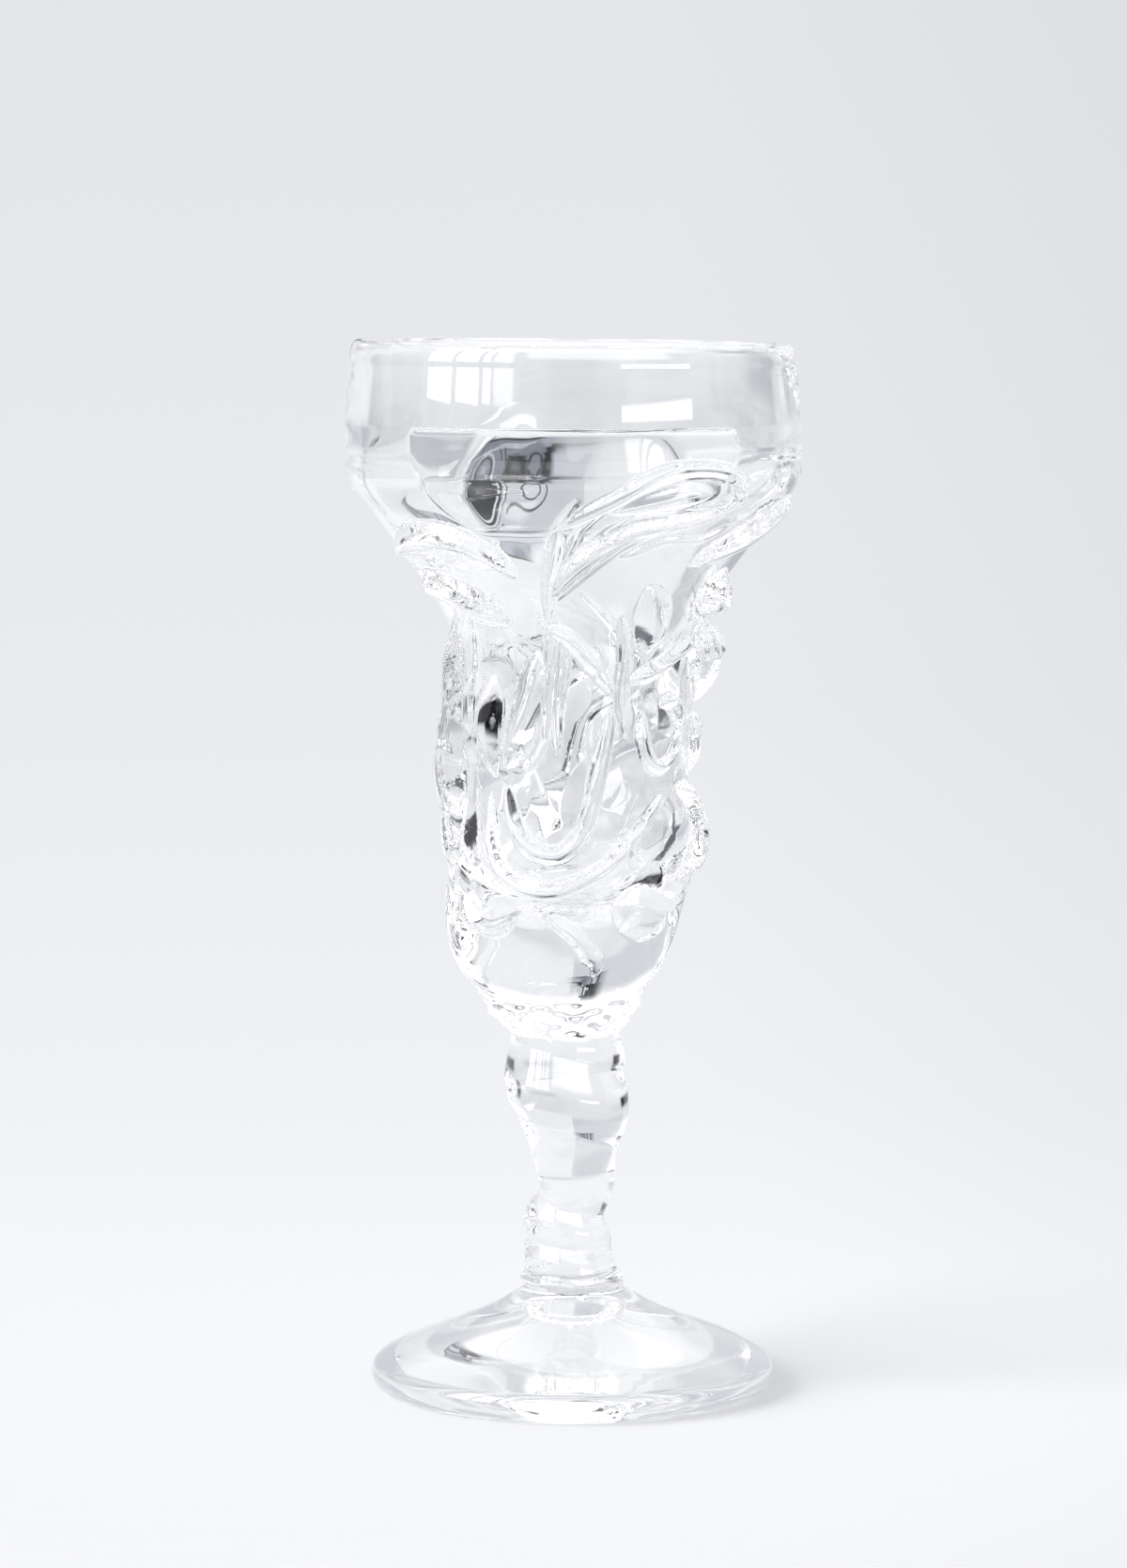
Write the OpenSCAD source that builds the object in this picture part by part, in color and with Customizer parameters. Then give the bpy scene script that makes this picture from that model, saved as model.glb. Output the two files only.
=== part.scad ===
// Hand-worked clear glass chalice. A thick blown cup with a rim band carries a coat of hot-laid
// trails, folds and prunts, and stands on a twisted stem and a spread foot.
// Angles round the cup run from the front (-Y), and are positive towards +X.

/* [Whole] */
// Height of the chalice, of which the cup's belly and throat take what the other heights leave
total_h = 205; // [195:1:240]

/* [Foot] */
// Diameter of the foot
foot_d = 79; // [70:1:100]
// Height of the foot's cone
foot_h = 20; // [17:0.5:28]
// Radius of the foot's rounded edge
foot_edge_r = 3.4; // [2.5:0.1:4.5]
// Diameter of the foot's top, under the wafer
foot_top_d = 19.6; // [17:0.2:24]
// Diameter of the hollow under the foot, at the table
foot_hollow_d = 64; // [54:1:68]
// Height of the hollow under the foot
foot_hollow_h = 10.5; // [7:0.5:13]
// Diameter of the flat mark that the punty leaves in the hollow
punty_d = 16; // [10:0.5:22]

/* [Stem] */
// Thickness of the wafer between foot and stem
foot_wafer_h = 2.5; // [1.5:0.1:4]
// Length of the twisted part of the stem
twist_len = 24.5; // [18:0.5:34]
// Diameter of the stem where it stands on the foot's wafer
stem_root_d = 18.4; // [15:0.2:22]
// Diameter of the stem at its slimmest
stem_waist_d = 15; // [12:0.2:18]
// Diameter of the stem where the twist meets the knop
stem_joint_d = 17.2; // [14:0.2:20]
// Turn of the twist along the whole stem, in degrees
stem_turn = 330; // [120:10:480]
// Depth of the two flutes of the twist
flute_depth = 0.7; // [0.2:0.1:1.2]
// How far the stem's middle sways from the axis
stem_sway = 1.6; // [0:0.1:2]
// Length of the knop
knop_len = 23; // [18:0.5:32]
// Diameter of the knop
knop_d = 23.2; // [20:0.2:28]
// Diameter of the knop's neck, under the cup's wafer
neck_d = 21; // [18:0.2:24]

/* [Cup] */
// Height of the wafer between knop and cup
cup_wafer_h = 8; // [5:0.5:11]
// Diameter of the cup's base, on its wafer
base_d = 32; // [29:0.5:36]
// Height from the cup's base to its heel
heel_h = 10; // [8:0.5:14]
// Diameter at the heel
heel_d = 43.2; // [40:0.2:48]
// Diameter at the belly
belly_d = 47.2; // [44:0.2:52]
// Share of the height between heel and shoulder that the throat takes, in percent
throat_share = 44.4; // [38:0.1:52]
// Diameter at the throat
throat_d = 50; // [47:0.5:54]
// Height from the throat to the middle of the shoulder
shoulder_h = 19; // [16:0.5:24]
// Diameter at the middle of the shoulder
shoulder_d = 75; // [70:1:80]
// Height from there to the shoulder's top
shoulder_top_h = 10; // [8:0.5:14]
// Height of the cup's own rim above the shoulder
seam_h = 9; // [6:0.5:12]
// Outside diameter of the cup's rim and of the band on it
band_d = 88.4; // [86:0.2:94]
// Thickness of the glass under the cup's hollow
floor_t = 13; // [8:0.5:16]
// Thickness of the cup's wall at the belly
wall_t = 5; // [3.5:0.1:6]
// Thickness of the shoulder
shoulder_t = 6; // [4:0.2:8]
// Diameter inside the ledge that thickens the front of the mouth
ledge_d = 62; // [58:0.5:66]
// Height of the ledge's face
ledge_h = 24; // [20:0.5:28]
// How far the hollow widens again under the ledge
ledge_pocket = 2.8; // [1:0.1:4]
// Distance from the axis to the straight edge where the ledge ends
ledge_chord = 27.5; // [27:0.1:30]

/* [Rim band] */
// Height of the rim band
band_h = 16; // [12:0.5:28]
// Thickness of the rim band
band_t = 4; // [3:0.1:5]
// Height of the lip's rounding
lip_h = 4.2; // [2:0.1:6]
// How much the band draws in towards the lip
band_draw = 1.2; // [0:0.1:2]

/* [Trails] */
// Width of a thin thread
thread_w = 3; // [2:0.1:3.6]
// Height of a thin thread
thread_h = 1.8; // [1:0.1:2.6]
// Width of a rope
rope_w = 5.6; // [4:0.1:6.4]
// Height of a rope
rope_h = 2.8; // [1.8:0.1:3.6]
// Width of a fold
fold_w = 7.6; // [5:0.1:8.4]
// Height of a fold
fold_h = 2.6; // [1.6:0.1:3.6]
// Width of a lobe
lobe_w = 13; // [9:0.2:14]
// Height of a lobe
lobe_h = 3.6; // [2:0.1:4.6]
// Width of a prunt
prunt_w = 9; // [6:0.2:10]
// Height of a prunt
prunt_h = 4.6; // [3:0.1:6]
// Gap between the wall and what is laid on it
seat_gap = 0.12; // [0.1:0.02:0.3]

/* [Hidden] */

// Heights of the pieces, stacked from the table up
wafer_z = foot_h;
twist_z = wafer_z + foot_wafer_h;
knop_z = twist_z + twist_len;
cup_wafer_z = knop_z + knop_len;
cup_z = cup_wafer_z + cup_wafer_h;
stem_len = twist_len + knop_len;

// Height from the heel to the belly
body_h = total_h - cup_z - heel_h - shoulder_h - shoulder_top_h - seam_h - band_h;
throat_h = body_h * throat_share / 100;
belly_h = body_h - throat_h;

// Fineness of the round stretches
round_fn = 96;
curve_steps = 12;
rod_sides = 28;
rod_rings = 16;
ring_steps = 5;
// Half the step over which the wall's slope is taken
slope_step = 0.05;
// Part of a route's first and last stretch that its round end takes
end_share = 0.5;

// Smooth curve between two values over the length l, with the slope at each end
function hermite(a, b, slope_a, slope_b, l, t) =
    a * (2 * pow(t, 3) - 3 * t * t + 1) + slope_a * l * (pow(t, 3) - 2 * t * t + t)
    + b * (3 * t * t - 2 * pow(t, 3)) + slope_b * l * (pow(t, 3) - t * t);

// Smooth curve through a list of points, where u counts the points
function through(points, u) =
    let (
        last = len(points) - 1,
        k = min(max(floor(u), 0), last - 1),
        t = u - k,
        p = points[max(k - 1, 0)],
        q = points[k],
        r = points[k + 1],
        s = points[min(k + 2, last)]
    )
    0.5 * (2 * q + (r - p) * t + (2 * p - 5 * q + 4 * r - s) * t * t + (3 * q - p - 3 * r + s) * pow(t, 3));

// A curve from a to d, leaving towards b and arriving from c
function bezier(a, b, c, d, steps = curve_steps) = [
    for (i = [0 : steps])
        let (t = i / steps)
        pow(1 - t, 3) * a + 3 * t * pow(1 - t, 2) * b + 3 * t * t * (1 - t) * c + pow(t, 3) * d
];

// The cup's outer wall: one station for each named height, with its radius and slope
stations = [
    for (s = [
        [0, base_d, 1.1],
        [heel_h, heel_d, 0.2],
        [heel_h + belly_h, belly_d, 0.02],
        [heel_h + belly_h + throat_h, throat_d, 0.35],
        [heel_h + belly_h + throat_h + shoulder_h, shoulder_d, 0.75],
        [heel_h + belly_h + throat_h + shoulder_h + shoulder_top_h, band_d, 0],
        [heel_h + belly_h + throat_h + shoulder_h + shoulder_top_h + seam_h, band_d, 0]
    ]) [cup_z + s[0], s[1] / 2, s[2]]
];
seam_z = stations[6][0];
last_station = len(stations) - 1;

function station_below(z, k = 0) =
    k >= last_station - 1 || z < stations[k + 1][0] ? k : station_below(z, k + 1);
function wall_r(z) =
    let (k = station_below(z), a = stations[k], b = stations[k + 1], l = b[0] - a[0])
    hermite(a[1], b[1], a[2], b[2], l, (z - a[0]) / l);
function wall_slope(z) = (wall_r(z + slope_step) - wall_r(z - slope_step)) / (2 * slope_step);

// Height of a place between stations, such as 2.5 for half way from the belly to the throat
function station_z(s) =
    let (k = min(floor(s), last_station - 1))
    stations[k][0] + (s - k) * (stations[k + 1][0] - stations[k][0]);

// The point at a height over the outer wall
function over_wall(angle, z, h) =
    let (slope = wall_slope(z), n = 1 / sqrt(1 + slope * slope), r = wall_r(z) + h * n)
    [r * sin(angle), -r * cos(angle), z - h * n * slope];

// The cup's hollow: a round floor, then a wall inside the outer one
hollow_floor_z = cup_z + floor_t;
hollow_stations = [
    [hollow_floor_z + belly_d / 2 - wall_t, belly_d / 2 - wall_t, 0.05],
    [stations[3][0], throat_d / 2 - wall_t, 0.35],
    [stations[4][0] + shoulder_t, shoulder_d / 2 - 1.1, 0.66],
    [stations[5][0] + 2, band_d / 2 - band_t - 0.4, 0.3],
    [stations[5][0] + 5, band_d / 2 - band_t, 0],
    [seam_z, band_d / 2 - band_t, 0]
];
hollow_floor = [
    for (i = [0 : curve_steps - 1])
        let (t = 90 * i / curve_steps, r = belly_d / 2 - wall_t)
        [r * sin(t), hollow_floor_z + r * (1 - cos(t))]
];

// The ledge inside the front of the mouth: its face leans out from the hollow and back in to its edge
ledge_top_z = seam_z - 0.2;
ledge_edge = 0.8;
ledge_root = 2.6;
ledge_stations = [
    for (s = [[1, -0.04, 0.2], [0.77, 0.4, 0.2], [0.5, 1.02, 0.28], [0.367, 1, -0.36], [0.04, 0, -0.36]])
        [seam_z - ledge_h * s[0], ledge_d / 2 + ledge_pocket * s[1], s[2]]
];

// Points of the curve through stations of height, radius and slope
function station_curve(rows) = concat(
    [
        for (k = [0 : len(rows) - 2], i = [0 : curve_steps - 1])
            let (a = rows[k], b = rows[k + 1], l = b[0] - a[0], t = i / curve_steps)
            [hermite(a[1], b[1], a[2], b[2], l, t), a[0] + l * t]
    ],
    [[rows[len(rows) - 1][1], rows[len(rows) - 1][0]]]
);
hollow_wall = station_curve(hollow_stations);
ledge_face = station_curve(ledge_stations);

module cup_shell() {
    rotate_extrude($fn = round_fn)
        polygon(concat(
            [[0, cup_z]],
            [
                for (k = [0 : last_station - 1], i = [0 : curve_steps - 1])
                    let (z = station_z(k + i / curve_steps))
                    [wall_r(z), z]
            ],
            [[band_d / 2, seam_z]],
            [for (i = [len(hollow_wall) - 1 : -1 : 0]) hollow_wall[i]],
            [for (i = [curve_steps - 1 : -1 : 0]) hollow_floor[i]]
        ));
}

module cup_ledge() {
    difference() {
        rotate_extrude($fn = round_fn)
            polygon(concat(
                ledge_face,
                [[ledge_d / 2 + ledge_edge, ledge_top_z], [band_d / 2 - band_t + ledge_root, ledge_top_z]],
                [
                    for (i = [len(hollow_wall) - 1 : -1 : 0])
                        if (hollow_wall[i][1] < ledge_top_z && hollow_wall[i][1] > ledge_stations[0][0])
                            hollow_wall[i] + [ledge_root, 0]
                ]
            ));
        translate([-band_d, -ledge_chord, ledge_stations[0][0] - 1])
            cube([2 * band_d, 2 * band_d, ledge_h + 2]);
    }
}

module cup() {
    color([0.93, 0.95, 0.96, 0.4])
        union() {
            cup_shell();
            cup_ledge();
        }
}

module rim_band() {
    lip_z = seam_z + band_h - lip_h;
    color([0.94, 0.96, 0.97, 0.4])
        rotate_extrude($fn = round_fn)
            polygon(concat(
                [[band_d / 2 - band_t, seam_z], [band_d / 2, seam_z]],
                [
                    for (i = [0 : curve_steps])
                        let (t = 180 * i / curve_steps)
                        [band_d / 2 - band_draw - band_t / 2 * (1 - cos(t)), lip_z + lip_h * sin(t)]
                ]
            ));
}

module foot() {
    edge = [foot_d / 2 - foot_edge_r, foot_edge_r];
    edge_turn = 55;
    edge_top = edge + foot_edge_r * [cos(edge_turn), sin(edge_turn)];
    color([0.93, 0.95, 0.96, 0.4])
        rotate_extrude($fn = round_fn)
            polygon(concat(
                [[0, foot_hollow_h]],
                bezier(
                    [punty_d / 2, foot_hollow_h],
                    [punty_d / 2 + foot_hollow_h / 2, foot_hollow_h / 2],
                    [foot_hollow_d / 2 - foot_hollow_h, foot_hollow_h / 4],
                    [foot_hollow_d / 2, 0]),
                [
                    for (i = [0 : curve_steps - 1])
                        let (t = -90 + (90 + edge_turn) * i / curve_steps)
                        edge + foot_edge_r * [cos(t), sin(t)]
                ],
                bezier(
                    edge_top,
                    edge_top + [-2.2, 1.5] * foot_edge_r,
                    [foot_top_d / 2 + foot_h / 2, foot_h * 0.62],
                    [foot_top_d / 2, foot_h]),
                [[0, foot_h]]
            ));
}

// A round wafer with a bulging edge, between a lower and an upper diameter
module wafer(z, h, low_d, high_d, bulge) {
    rotate_extrude($fn = round_fn)
        polygon(concat(
            [[0, z]],
            [
                for (i = [0 : curve_steps])
                    let (t = i / curve_steps)
                    [low_d / 2 + (high_d - low_d) / 2 * t + bulge * sin(180 * t), z + h * t]
            ],
            [[0, z + h]]
        ));
}

module foot_wafer() {
    color([0.92, 0.94, 0.95, 0.4])
        wafer(wafer_z, foot_wafer_h, foot_top_d, foot_top_d, foot_wafer_h / 8);
}

module cup_wafer() {
    color([0.92, 0.94, 0.95, 0.4])
        wafer(cup_wafer_z, cup_wafer_h, neck_d, base_d, cup_wafer_h / 12);
}

// The stem's radius at a share of its length, from the foot's wafer to the cup's
joint_share = twist_len / stem_len;
rod_points = [
    [0, stem_root_d],
    [joint_share * 0.45, (stem_root_d + stem_waist_d) / 2 - 0.9],
    [joint_share * 0.78, stem_waist_d],
    [joint_share, stem_joint_d],
    [joint_share + (1 - joint_share) * 0.42, knop_d],
    [joint_share + (1 - joint_share) * 0.74, knop_d],
    [1, neck_d]
];
function rod_between(x, k = 0) =
    k >= len(rod_points) - 2 || x < rod_points[k + 1][0] ? k : rod_between(x, k + 1);
function rod_r(x) =
    let (k = rod_between(x), a = rod_points[k], b = rod_points[k + 1])
    through([for (p = rod_points) p[1]], k + (x - a[0]) / (b[0] - a[0])) / 2;

// A ring of the stem: two flutes that turn with height, round a middle that sways
function rod_ring(x) =
    let (
        calm = sin(180 * x),
        side = stem_sway * calm * sin(540 * x + 190),
        depth = stem_sway * calm * cos(540 * x) / 2
    )
    [
        for (i = [0 : rod_sides - 1])
            let (a = 360 * i / rod_sides, r = rod_r(x) + flute_depth * calm * cos(2 * a - 2 * stem_turn * x))
            [r * cos(a) + side, r * sin(a) + depth, twist_z + stem_len * x]
    ];

// The faces between rings of n points each
function skin(n, rings) = [
    for (k = [0 : rings - 2], i = [0 : n - 1])
        let (j = (i + 1) % n, low = k * n, high = low + n)
        each [[low + i, high + i, high + j], [low + i, high + j, low + j]]
];

// A solid through rings of equal count, closed by a flat face at each end
module lofted(rings) {
    n = len(rings[0]);
    last = len(rings) - 1;
    polyhedron(
        points = [for (ring = rings, p = ring) p],
        faces = concat(
            [[for (i = [0 : n - 1]) i]],
            skin(n, len(rings)),
            [[for (i = [n - 1 : -1 : 0]) last * n + i]]
        )
    );
}

module stem_twist() {
    color([0.92, 0.94, 0.96, 0.4])
        lofted([for (i = [0 : rod_rings]) rod_ring(joint_share * i / rod_rings)]);
}

module stem_knop() {
    color([0.93, 0.95, 0.97, 0.4])
        lofted([for (i = [0 : rod_rings]) rod_ring(joint_share + (1 - joint_share) * i / rod_rings)]);
}

// One ring of a trail at u along its route. A route's points hold an angle, a station and a swell.
function trail_ring(route, u, w, h, arch, floor_parts) =
    let (
        last = len(route) - 1,
        line = [for (p = route) [p[0], station_z(p[1]), p[2]]],
        here = through(line, u),
        ahead = through(line, min(u + slope_step, last)) - through(line, max(u - slope_step, 0)),
        r = wall_r(here[1]),
        run = [ahead[0] * PI / 180 * r, ahead[1] * sqrt(1 + pow(wall_slope(here[1]), 2))],
        cross = [-run[1], run[0]] / norm(run),
        end = min(min(u, last - u) / end_share, 1),
        swell = here[2] * sqrt(1 - pow(1 - end, 2)),
        half = w / 2 * swell,
        section = concat(
            [for (j = [0 : arch]) [cos(180 * j / arch), sin(180 * j / arch)]],
            [for (j = [1 : floor_parts - 1]) [2 * j / floor_parts - 1, 0]]
        )
    )
    [
        for (q = section)
            over_wall(
                here[0] + q[0] * half * cross[0] / r * 180 / PI,
                here[1] + q[0] * half * cross[1] / sqrt(1 + pow(wall_slope(here[1]), 2)),
                seat_gap + q[1] * h * swell)
    ];

// Glass laid hot along a route on the cup's wall, with round ends
module trail(route, w, h, arch = 6, floor_parts = 4) {
    count = ring_steps * (len(route) - 1);
    rings = [
        for (i = [1 : count - 1])
            trail_ring(route, i / ring_steps, w, h, arch, floor_parts)
    ];
    n = len(rings[0]);
    first = route[0];
    last = route[len(route) - 1];
    tips = [for (p = [first, last]) over_wall(p[0], station_z(p[1]), seat_gap)];
    polyhedron(
        points = concat([for (ring = rings, p = ring) p], tips),
        faces = concat(
            skin(n, len(rings)),
            [
                for (i = [0 : n - 1])
                    let (j = (i + 1) % n, tip = n * len(rings))
                    each [[tip, i, j], [tip + 1, tip - n + j, tip - n + i]]
            ]
        )
    );
}

module thread(route) {
    color([0.95, 0.96, 0.98, 0.4]) trail(route, thread_w, thread_h, 4);
}

module rope(route) {
    color([0.94, 0.96, 0.97, 0.4]) trail(route, rope_w, rope_h);
}

module fold(route) {
    color([0.94, 0.95, 0.97, 0.4]) trail(route, fold_w, fold_h);
}

module lobe(route) {
    color([0.93, 0.95, 0.97, 0.4]) trail(route, lobe_w, lobe_h);
}

module prunt(route) {
    color([0.93, 0.95, 0.96, 0.4]) trail(route, prunt_w, prunt_h);
}

module left_swag() {
    rope([[-76, 3.72, 0.9], [-60, 3.86, 1.1], [-45, 3.92, 1.1], [-32, 3.8, 0.9], [-22, 3.5, 0.7]]);
}

module left_fold() {
    fold([[-78, 3.36, 0.8], [-62, 3.38, 1], [-46, 3.24, 1], [-28, 3.04, 0.8]]);
}

module left_ribbon() {
    fold([[-16, 2.84, 0.6], [-20, 2.54, 0.8], [-26, 2.24, 0.8], [-33, 2.02, 0.6]]);
}

module left_leaf() {
    fold([[-39, 2.66, 0.5], [-43, 2.44, 0.8], [-45, 2.2, 0.8], [-41, 1.96, 0.5]]);
}

module left_lobe() {
    lobe([[-68, 3, 0.6], [-78, 2.6, 0.9], [-81, 2.1, 1], [-77, 1.7, 0.8], [-70, 1.4, 0.5]]);
}

module heel_thread() {
    thread([[-56, 1.32, 0.7], [-46, 1.16, 1], [-34, 1.14, 1], [-22, 1.24, 0.7]]);
}

module outer_hairpin() {
    thread([
        [-10, 3.3, 1.5], [4, 3.75, 1.4], [20, 4.05, 1.2], [36, 4.25, 1], [46, 4.62, 1],
        [40, 5.08, 0.9], [25, 5.12, 1], [9, 4.56, 1.1], [-5, 4, 1.1]
    ]);
}

module tongue() {
    fold([[10, 4.3, 0.4], [20, 4.52, 0.6], [29, 4.64, 0.65], [37, 4.68, 0.5]]);
}

module crossing_thread() {
    thread([[-12, 3, 0.9], [-3, 2.93, 1], [8, 2.75, 1], [18, 2.54, 1]]);
}

module inner_loop() {
    thread([
        [-33, 1.92, 1], [-29, 1.74, 1.1], [-18, 1.58, 1.2], [-4, 1.56, 1.2], [6, 1.72, 1.1],
        [12, 2.1, 1], [17, 2.42, 1]
    ]);
}

module outer_loop() {
    thread([
        [-44, 1.88, 0.8], [-40, 1.6, 0.9], [-27, 1.4, 1], [-6, 1.36, 1], [16, 1.48, 0.9],
        [33, 1.68, 0.9], [45, 1.88, 0.8]
    ]);
}

module base_thread() {
    thread([[-9, 1.2, 0.8], [3, 1.12, 1], [13, 1, 1.1], [18, 0.82, 1], [17, 0.56, 0.8]]);
}

module right_swag() {
    rope([[82, 4.5, 0.6], [72, 4.3, 0.9], [61, 3.96, 1.1], [51, 3.78, 0.9], [43, 3.62, 0.7]]);
}

module right_curtain() {
    fold([[29, 3.42, 0.7], [35, 3.14, 1], [37, 2.98, 1], [36, 2.8, 0.7]]);
}

module upper_prunt() {
    prunt([[58, 3.4, 0.7], [67, 3.34, 1], [75, 3.26, 1], [85, 3.2, 0.7]]);
}

module side_prunt() {
    prunt([[84, 3, 0.6], [88, 2.86, 1.1], [90, 2.66, 1.1], [88, 2.42, 0.6]]);
}

module side_fold() {
    fold([[88, 2.36, 0.7], [92, 2.22, 0.9], [94, 2.08, 0.9], [96, 1.94, 0.7]]);
}

module hook_thread() {
    thread([[27, 2.62, 1], [41, 2.68, 1.1], [54, 2.78, 1], [65, 2.84, 1], [71, 2.74, 1], [68, 2.6, 0.9]]);
}

module tear_loop() {
    thread([
        [33, 2.42, 0.8], [32, 2.22, 0.9], [36, 2.06, 0.9], [44, 2.04, 0.9], [53, 2.16, 0.9],
        [60, 2.34, 0.9], [54, 2.47, 0.9], [45, 2.44, 0.8]
    ]);
}

module crescent() {
    rope([[54, 1.9, 0.6], [70, 1.84, 0.8], [81, 1.66, 0.9], [75, 1.47, 0.8], [60, 1.38, 0.6]]);
}

module heel_lobe() {
    lobe([[24, 1.28, 0.5], [33, 1.24, 0.7], [44, 1.18, 0.7], [55, 1.1, 0.5]]);
}

module back_swag() {
    rope([[112, 4.5, 0.6], [130, 4.1, 1], [149, 3.9, 1.1], [168, 3.98, 1], [184, 4.36, 0.7]]);
}

module back_fold() {
    fold([[204, 4.1, 0.7], [218, 3.7, 1], [236, 3.5, 1], [256, 3.62, 0.8]]);
}

module back_hairpin() {
    thread([
        [146, 3.3, 1], [138, 2.86, 1.1], [136, 2.4, 1.1], [144, 2.14, 1], [154, 2.4, 1],
        [158, 2.84, 1], [170, 3.2, 1]
    ]);
}

module back_loop() {
    thread([
        [172, 2.7, 1], [172, 2.1, 1.1], [184, 1.74, 1.2], [200, 1.66, 1.2], [214, 1.84, 1.1],
        [220, 2.3, 1], [220, 2.8, 1]
    ]);
}

module back_prunt() {
    prunt([[196, 2.86, 0.6], [198, 2.64, 1], [199, 2.42, 1], [198, 2.16, 0.6]]);
}

module back_lobe() {
    lobe([[238, 3, 0.5], [242, 2.6, 0.7], [242, 2.1, 0.8], [238, 1.64, 0.5]]);
}

module back_tear() {
    thread([
        [112, 2.7, 0.8], [110, 2.44, 0.9], [113, 2.22, 0.9], [120, 2.2, 0.9], [126, 2.38, 0.9],
        [127, 2.64, 0.9], [121, 2.78, 0.8]
    ]);
}

module back_crescent() {
    rope([[104, 1.2, 0.6], [120, 1.16, 0.8], [138, 1.28, 0.9], [152, 1.56, 0.6]]);
}

module back_thread() {
    thread([[168, 1.36, 0.8], [186, 1.2, 1], [206, 1.14, 1], [226, 1.24, 1], [240, 1.42, 0.8]]);
}

foot();
foot_wafer();
stem_twist();
stem_knop();
cup_wafer();
cup();
rim_band();
left_swag();
left_fold();
left_ribbon();
left_leaf();
left_lobe();
heel_thread();
outer_hairpin();
tongue();
crossing_thread();
inner_loop();
outer_loop();
base_thread();
right_swag();
right_curtain();
upper_prunt();
side_prunt();
side_fold();
hook_thread();
tear_loop();
crescent();
heel_lobe();
back_swag();
back_fold();
back_hairpin();
back_loop();
back_prunt();
back_lobe();
back_tear();
back_crescent();
back_thread();
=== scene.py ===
import math

import bpy
import numpy as np
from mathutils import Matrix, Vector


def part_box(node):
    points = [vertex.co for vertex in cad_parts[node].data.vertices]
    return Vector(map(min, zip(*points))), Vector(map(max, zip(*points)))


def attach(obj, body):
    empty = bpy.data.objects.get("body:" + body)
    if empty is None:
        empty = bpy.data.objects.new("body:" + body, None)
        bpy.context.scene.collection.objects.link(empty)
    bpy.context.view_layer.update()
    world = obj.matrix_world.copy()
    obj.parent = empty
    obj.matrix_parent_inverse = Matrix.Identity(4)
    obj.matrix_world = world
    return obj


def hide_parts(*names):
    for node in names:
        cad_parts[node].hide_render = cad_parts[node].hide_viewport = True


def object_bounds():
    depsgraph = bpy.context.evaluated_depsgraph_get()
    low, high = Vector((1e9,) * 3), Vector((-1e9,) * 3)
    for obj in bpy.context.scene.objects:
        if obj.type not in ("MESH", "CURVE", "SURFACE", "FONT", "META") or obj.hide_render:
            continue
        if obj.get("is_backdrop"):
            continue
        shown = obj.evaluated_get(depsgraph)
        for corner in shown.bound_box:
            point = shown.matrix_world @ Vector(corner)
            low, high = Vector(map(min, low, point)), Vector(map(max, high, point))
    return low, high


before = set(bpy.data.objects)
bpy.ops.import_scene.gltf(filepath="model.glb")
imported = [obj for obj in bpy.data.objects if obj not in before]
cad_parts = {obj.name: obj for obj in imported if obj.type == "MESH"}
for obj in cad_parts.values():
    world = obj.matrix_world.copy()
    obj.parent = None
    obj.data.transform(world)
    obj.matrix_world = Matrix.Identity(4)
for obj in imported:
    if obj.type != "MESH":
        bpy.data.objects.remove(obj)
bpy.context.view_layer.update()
mm = 0.001


def linear(hexColour):  # sRGB hex to linear colour with alpha
    parts = [int(hexColour[i:i + 2], 16) / 255 for i in (0, 2, 4)]
    return (*[c / 12.92 if c <= 0.04045 else ((c + 0.055) / 1.055) ** 2.4 for c in parts], 1)


def addNode(tree, kind, inputs=None, **settings):  # inputs holds plain values or sockets to link
    node = tree.nodes.new(kind)
    for name, value in settings.items():
        setattr(node, name, value)
    for name, value in (inputs or {}).items():
        if isinstance(value, bpy.types.NodeSocket):
            tree.links.new(value, node.inputs[name])
        else:
            node.inputs[name].default_value = value
    return node


def topOf(node):
    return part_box(node)[1].z / mm


def curveRows(heights, values):  # rows of height, value and slope for smoothCurve
    return np.stack([heights, values, np.gradient(values, heights)], 1)


def smoothCurve(rows, z):  # cubic through rows of height, value and slope
    rows = np.asarray(rows, float)
    k = np.clip(np.searchsorted(rows[:, 0], z, side="right") - 1, 0, len(rows) - 2)
    low, high = rows[k], rows[k + 1]
    span = high[..., 0] - low[..., 0]
    t = np.clip((z - low[..., 0]) / span, 0, 1)
    ease = t * t * (3 - 2 * t)
    bend = low[..., 2] * span * (t ** 3 - 2 * t * t + t) + high[..., 2] * span * (t ** 3 - t * t)
    return low[..., 1] * (1 - ease) + high[..., 1] * ease + bend


def through(points, u):  # smooth line through points, where u counts them
    points = np.asarray(points, float)
    last = len(points) - 1
    k = np.clip(np.floor(u).astype(int), 0, last - 1)
    t = (u - k)[:, None]
    p, q = points[np.maximum(k - 1, 0)], points[k]
    r, s = points[k + 1], points[np.minimum(k + 2, last)]
    square = 2 * p - 5 * q + 4 * r - s
    cube = 3 * q - p - 3 * r + s
    return 0.5 * (2 * q + (r - p) * t + square * t ** 2 + cube * t ** 3)


def bezier(a, b, c, d, steps):
    t = np.linspace(0, 1, steps + 1)[:, None]
    a, b, c, d = (np.array(p, float) for p in (a, b, c, d))
    return (1 - t) ** 3 * a + 3 * t * (1 - t) ** 2 * b + 3 * t * t * (1 - t) * c + t ** 3 * d


def ripple(a, z, waves):  # waves hold turns round the axis, mm per wave upwards, phase and height
    total = 0
    for turns, length, phase, high in waves:
        total = total + high * np.sin(turns * a + 2 * np.pi * z / length + phase)
    return total


# Materials

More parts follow.
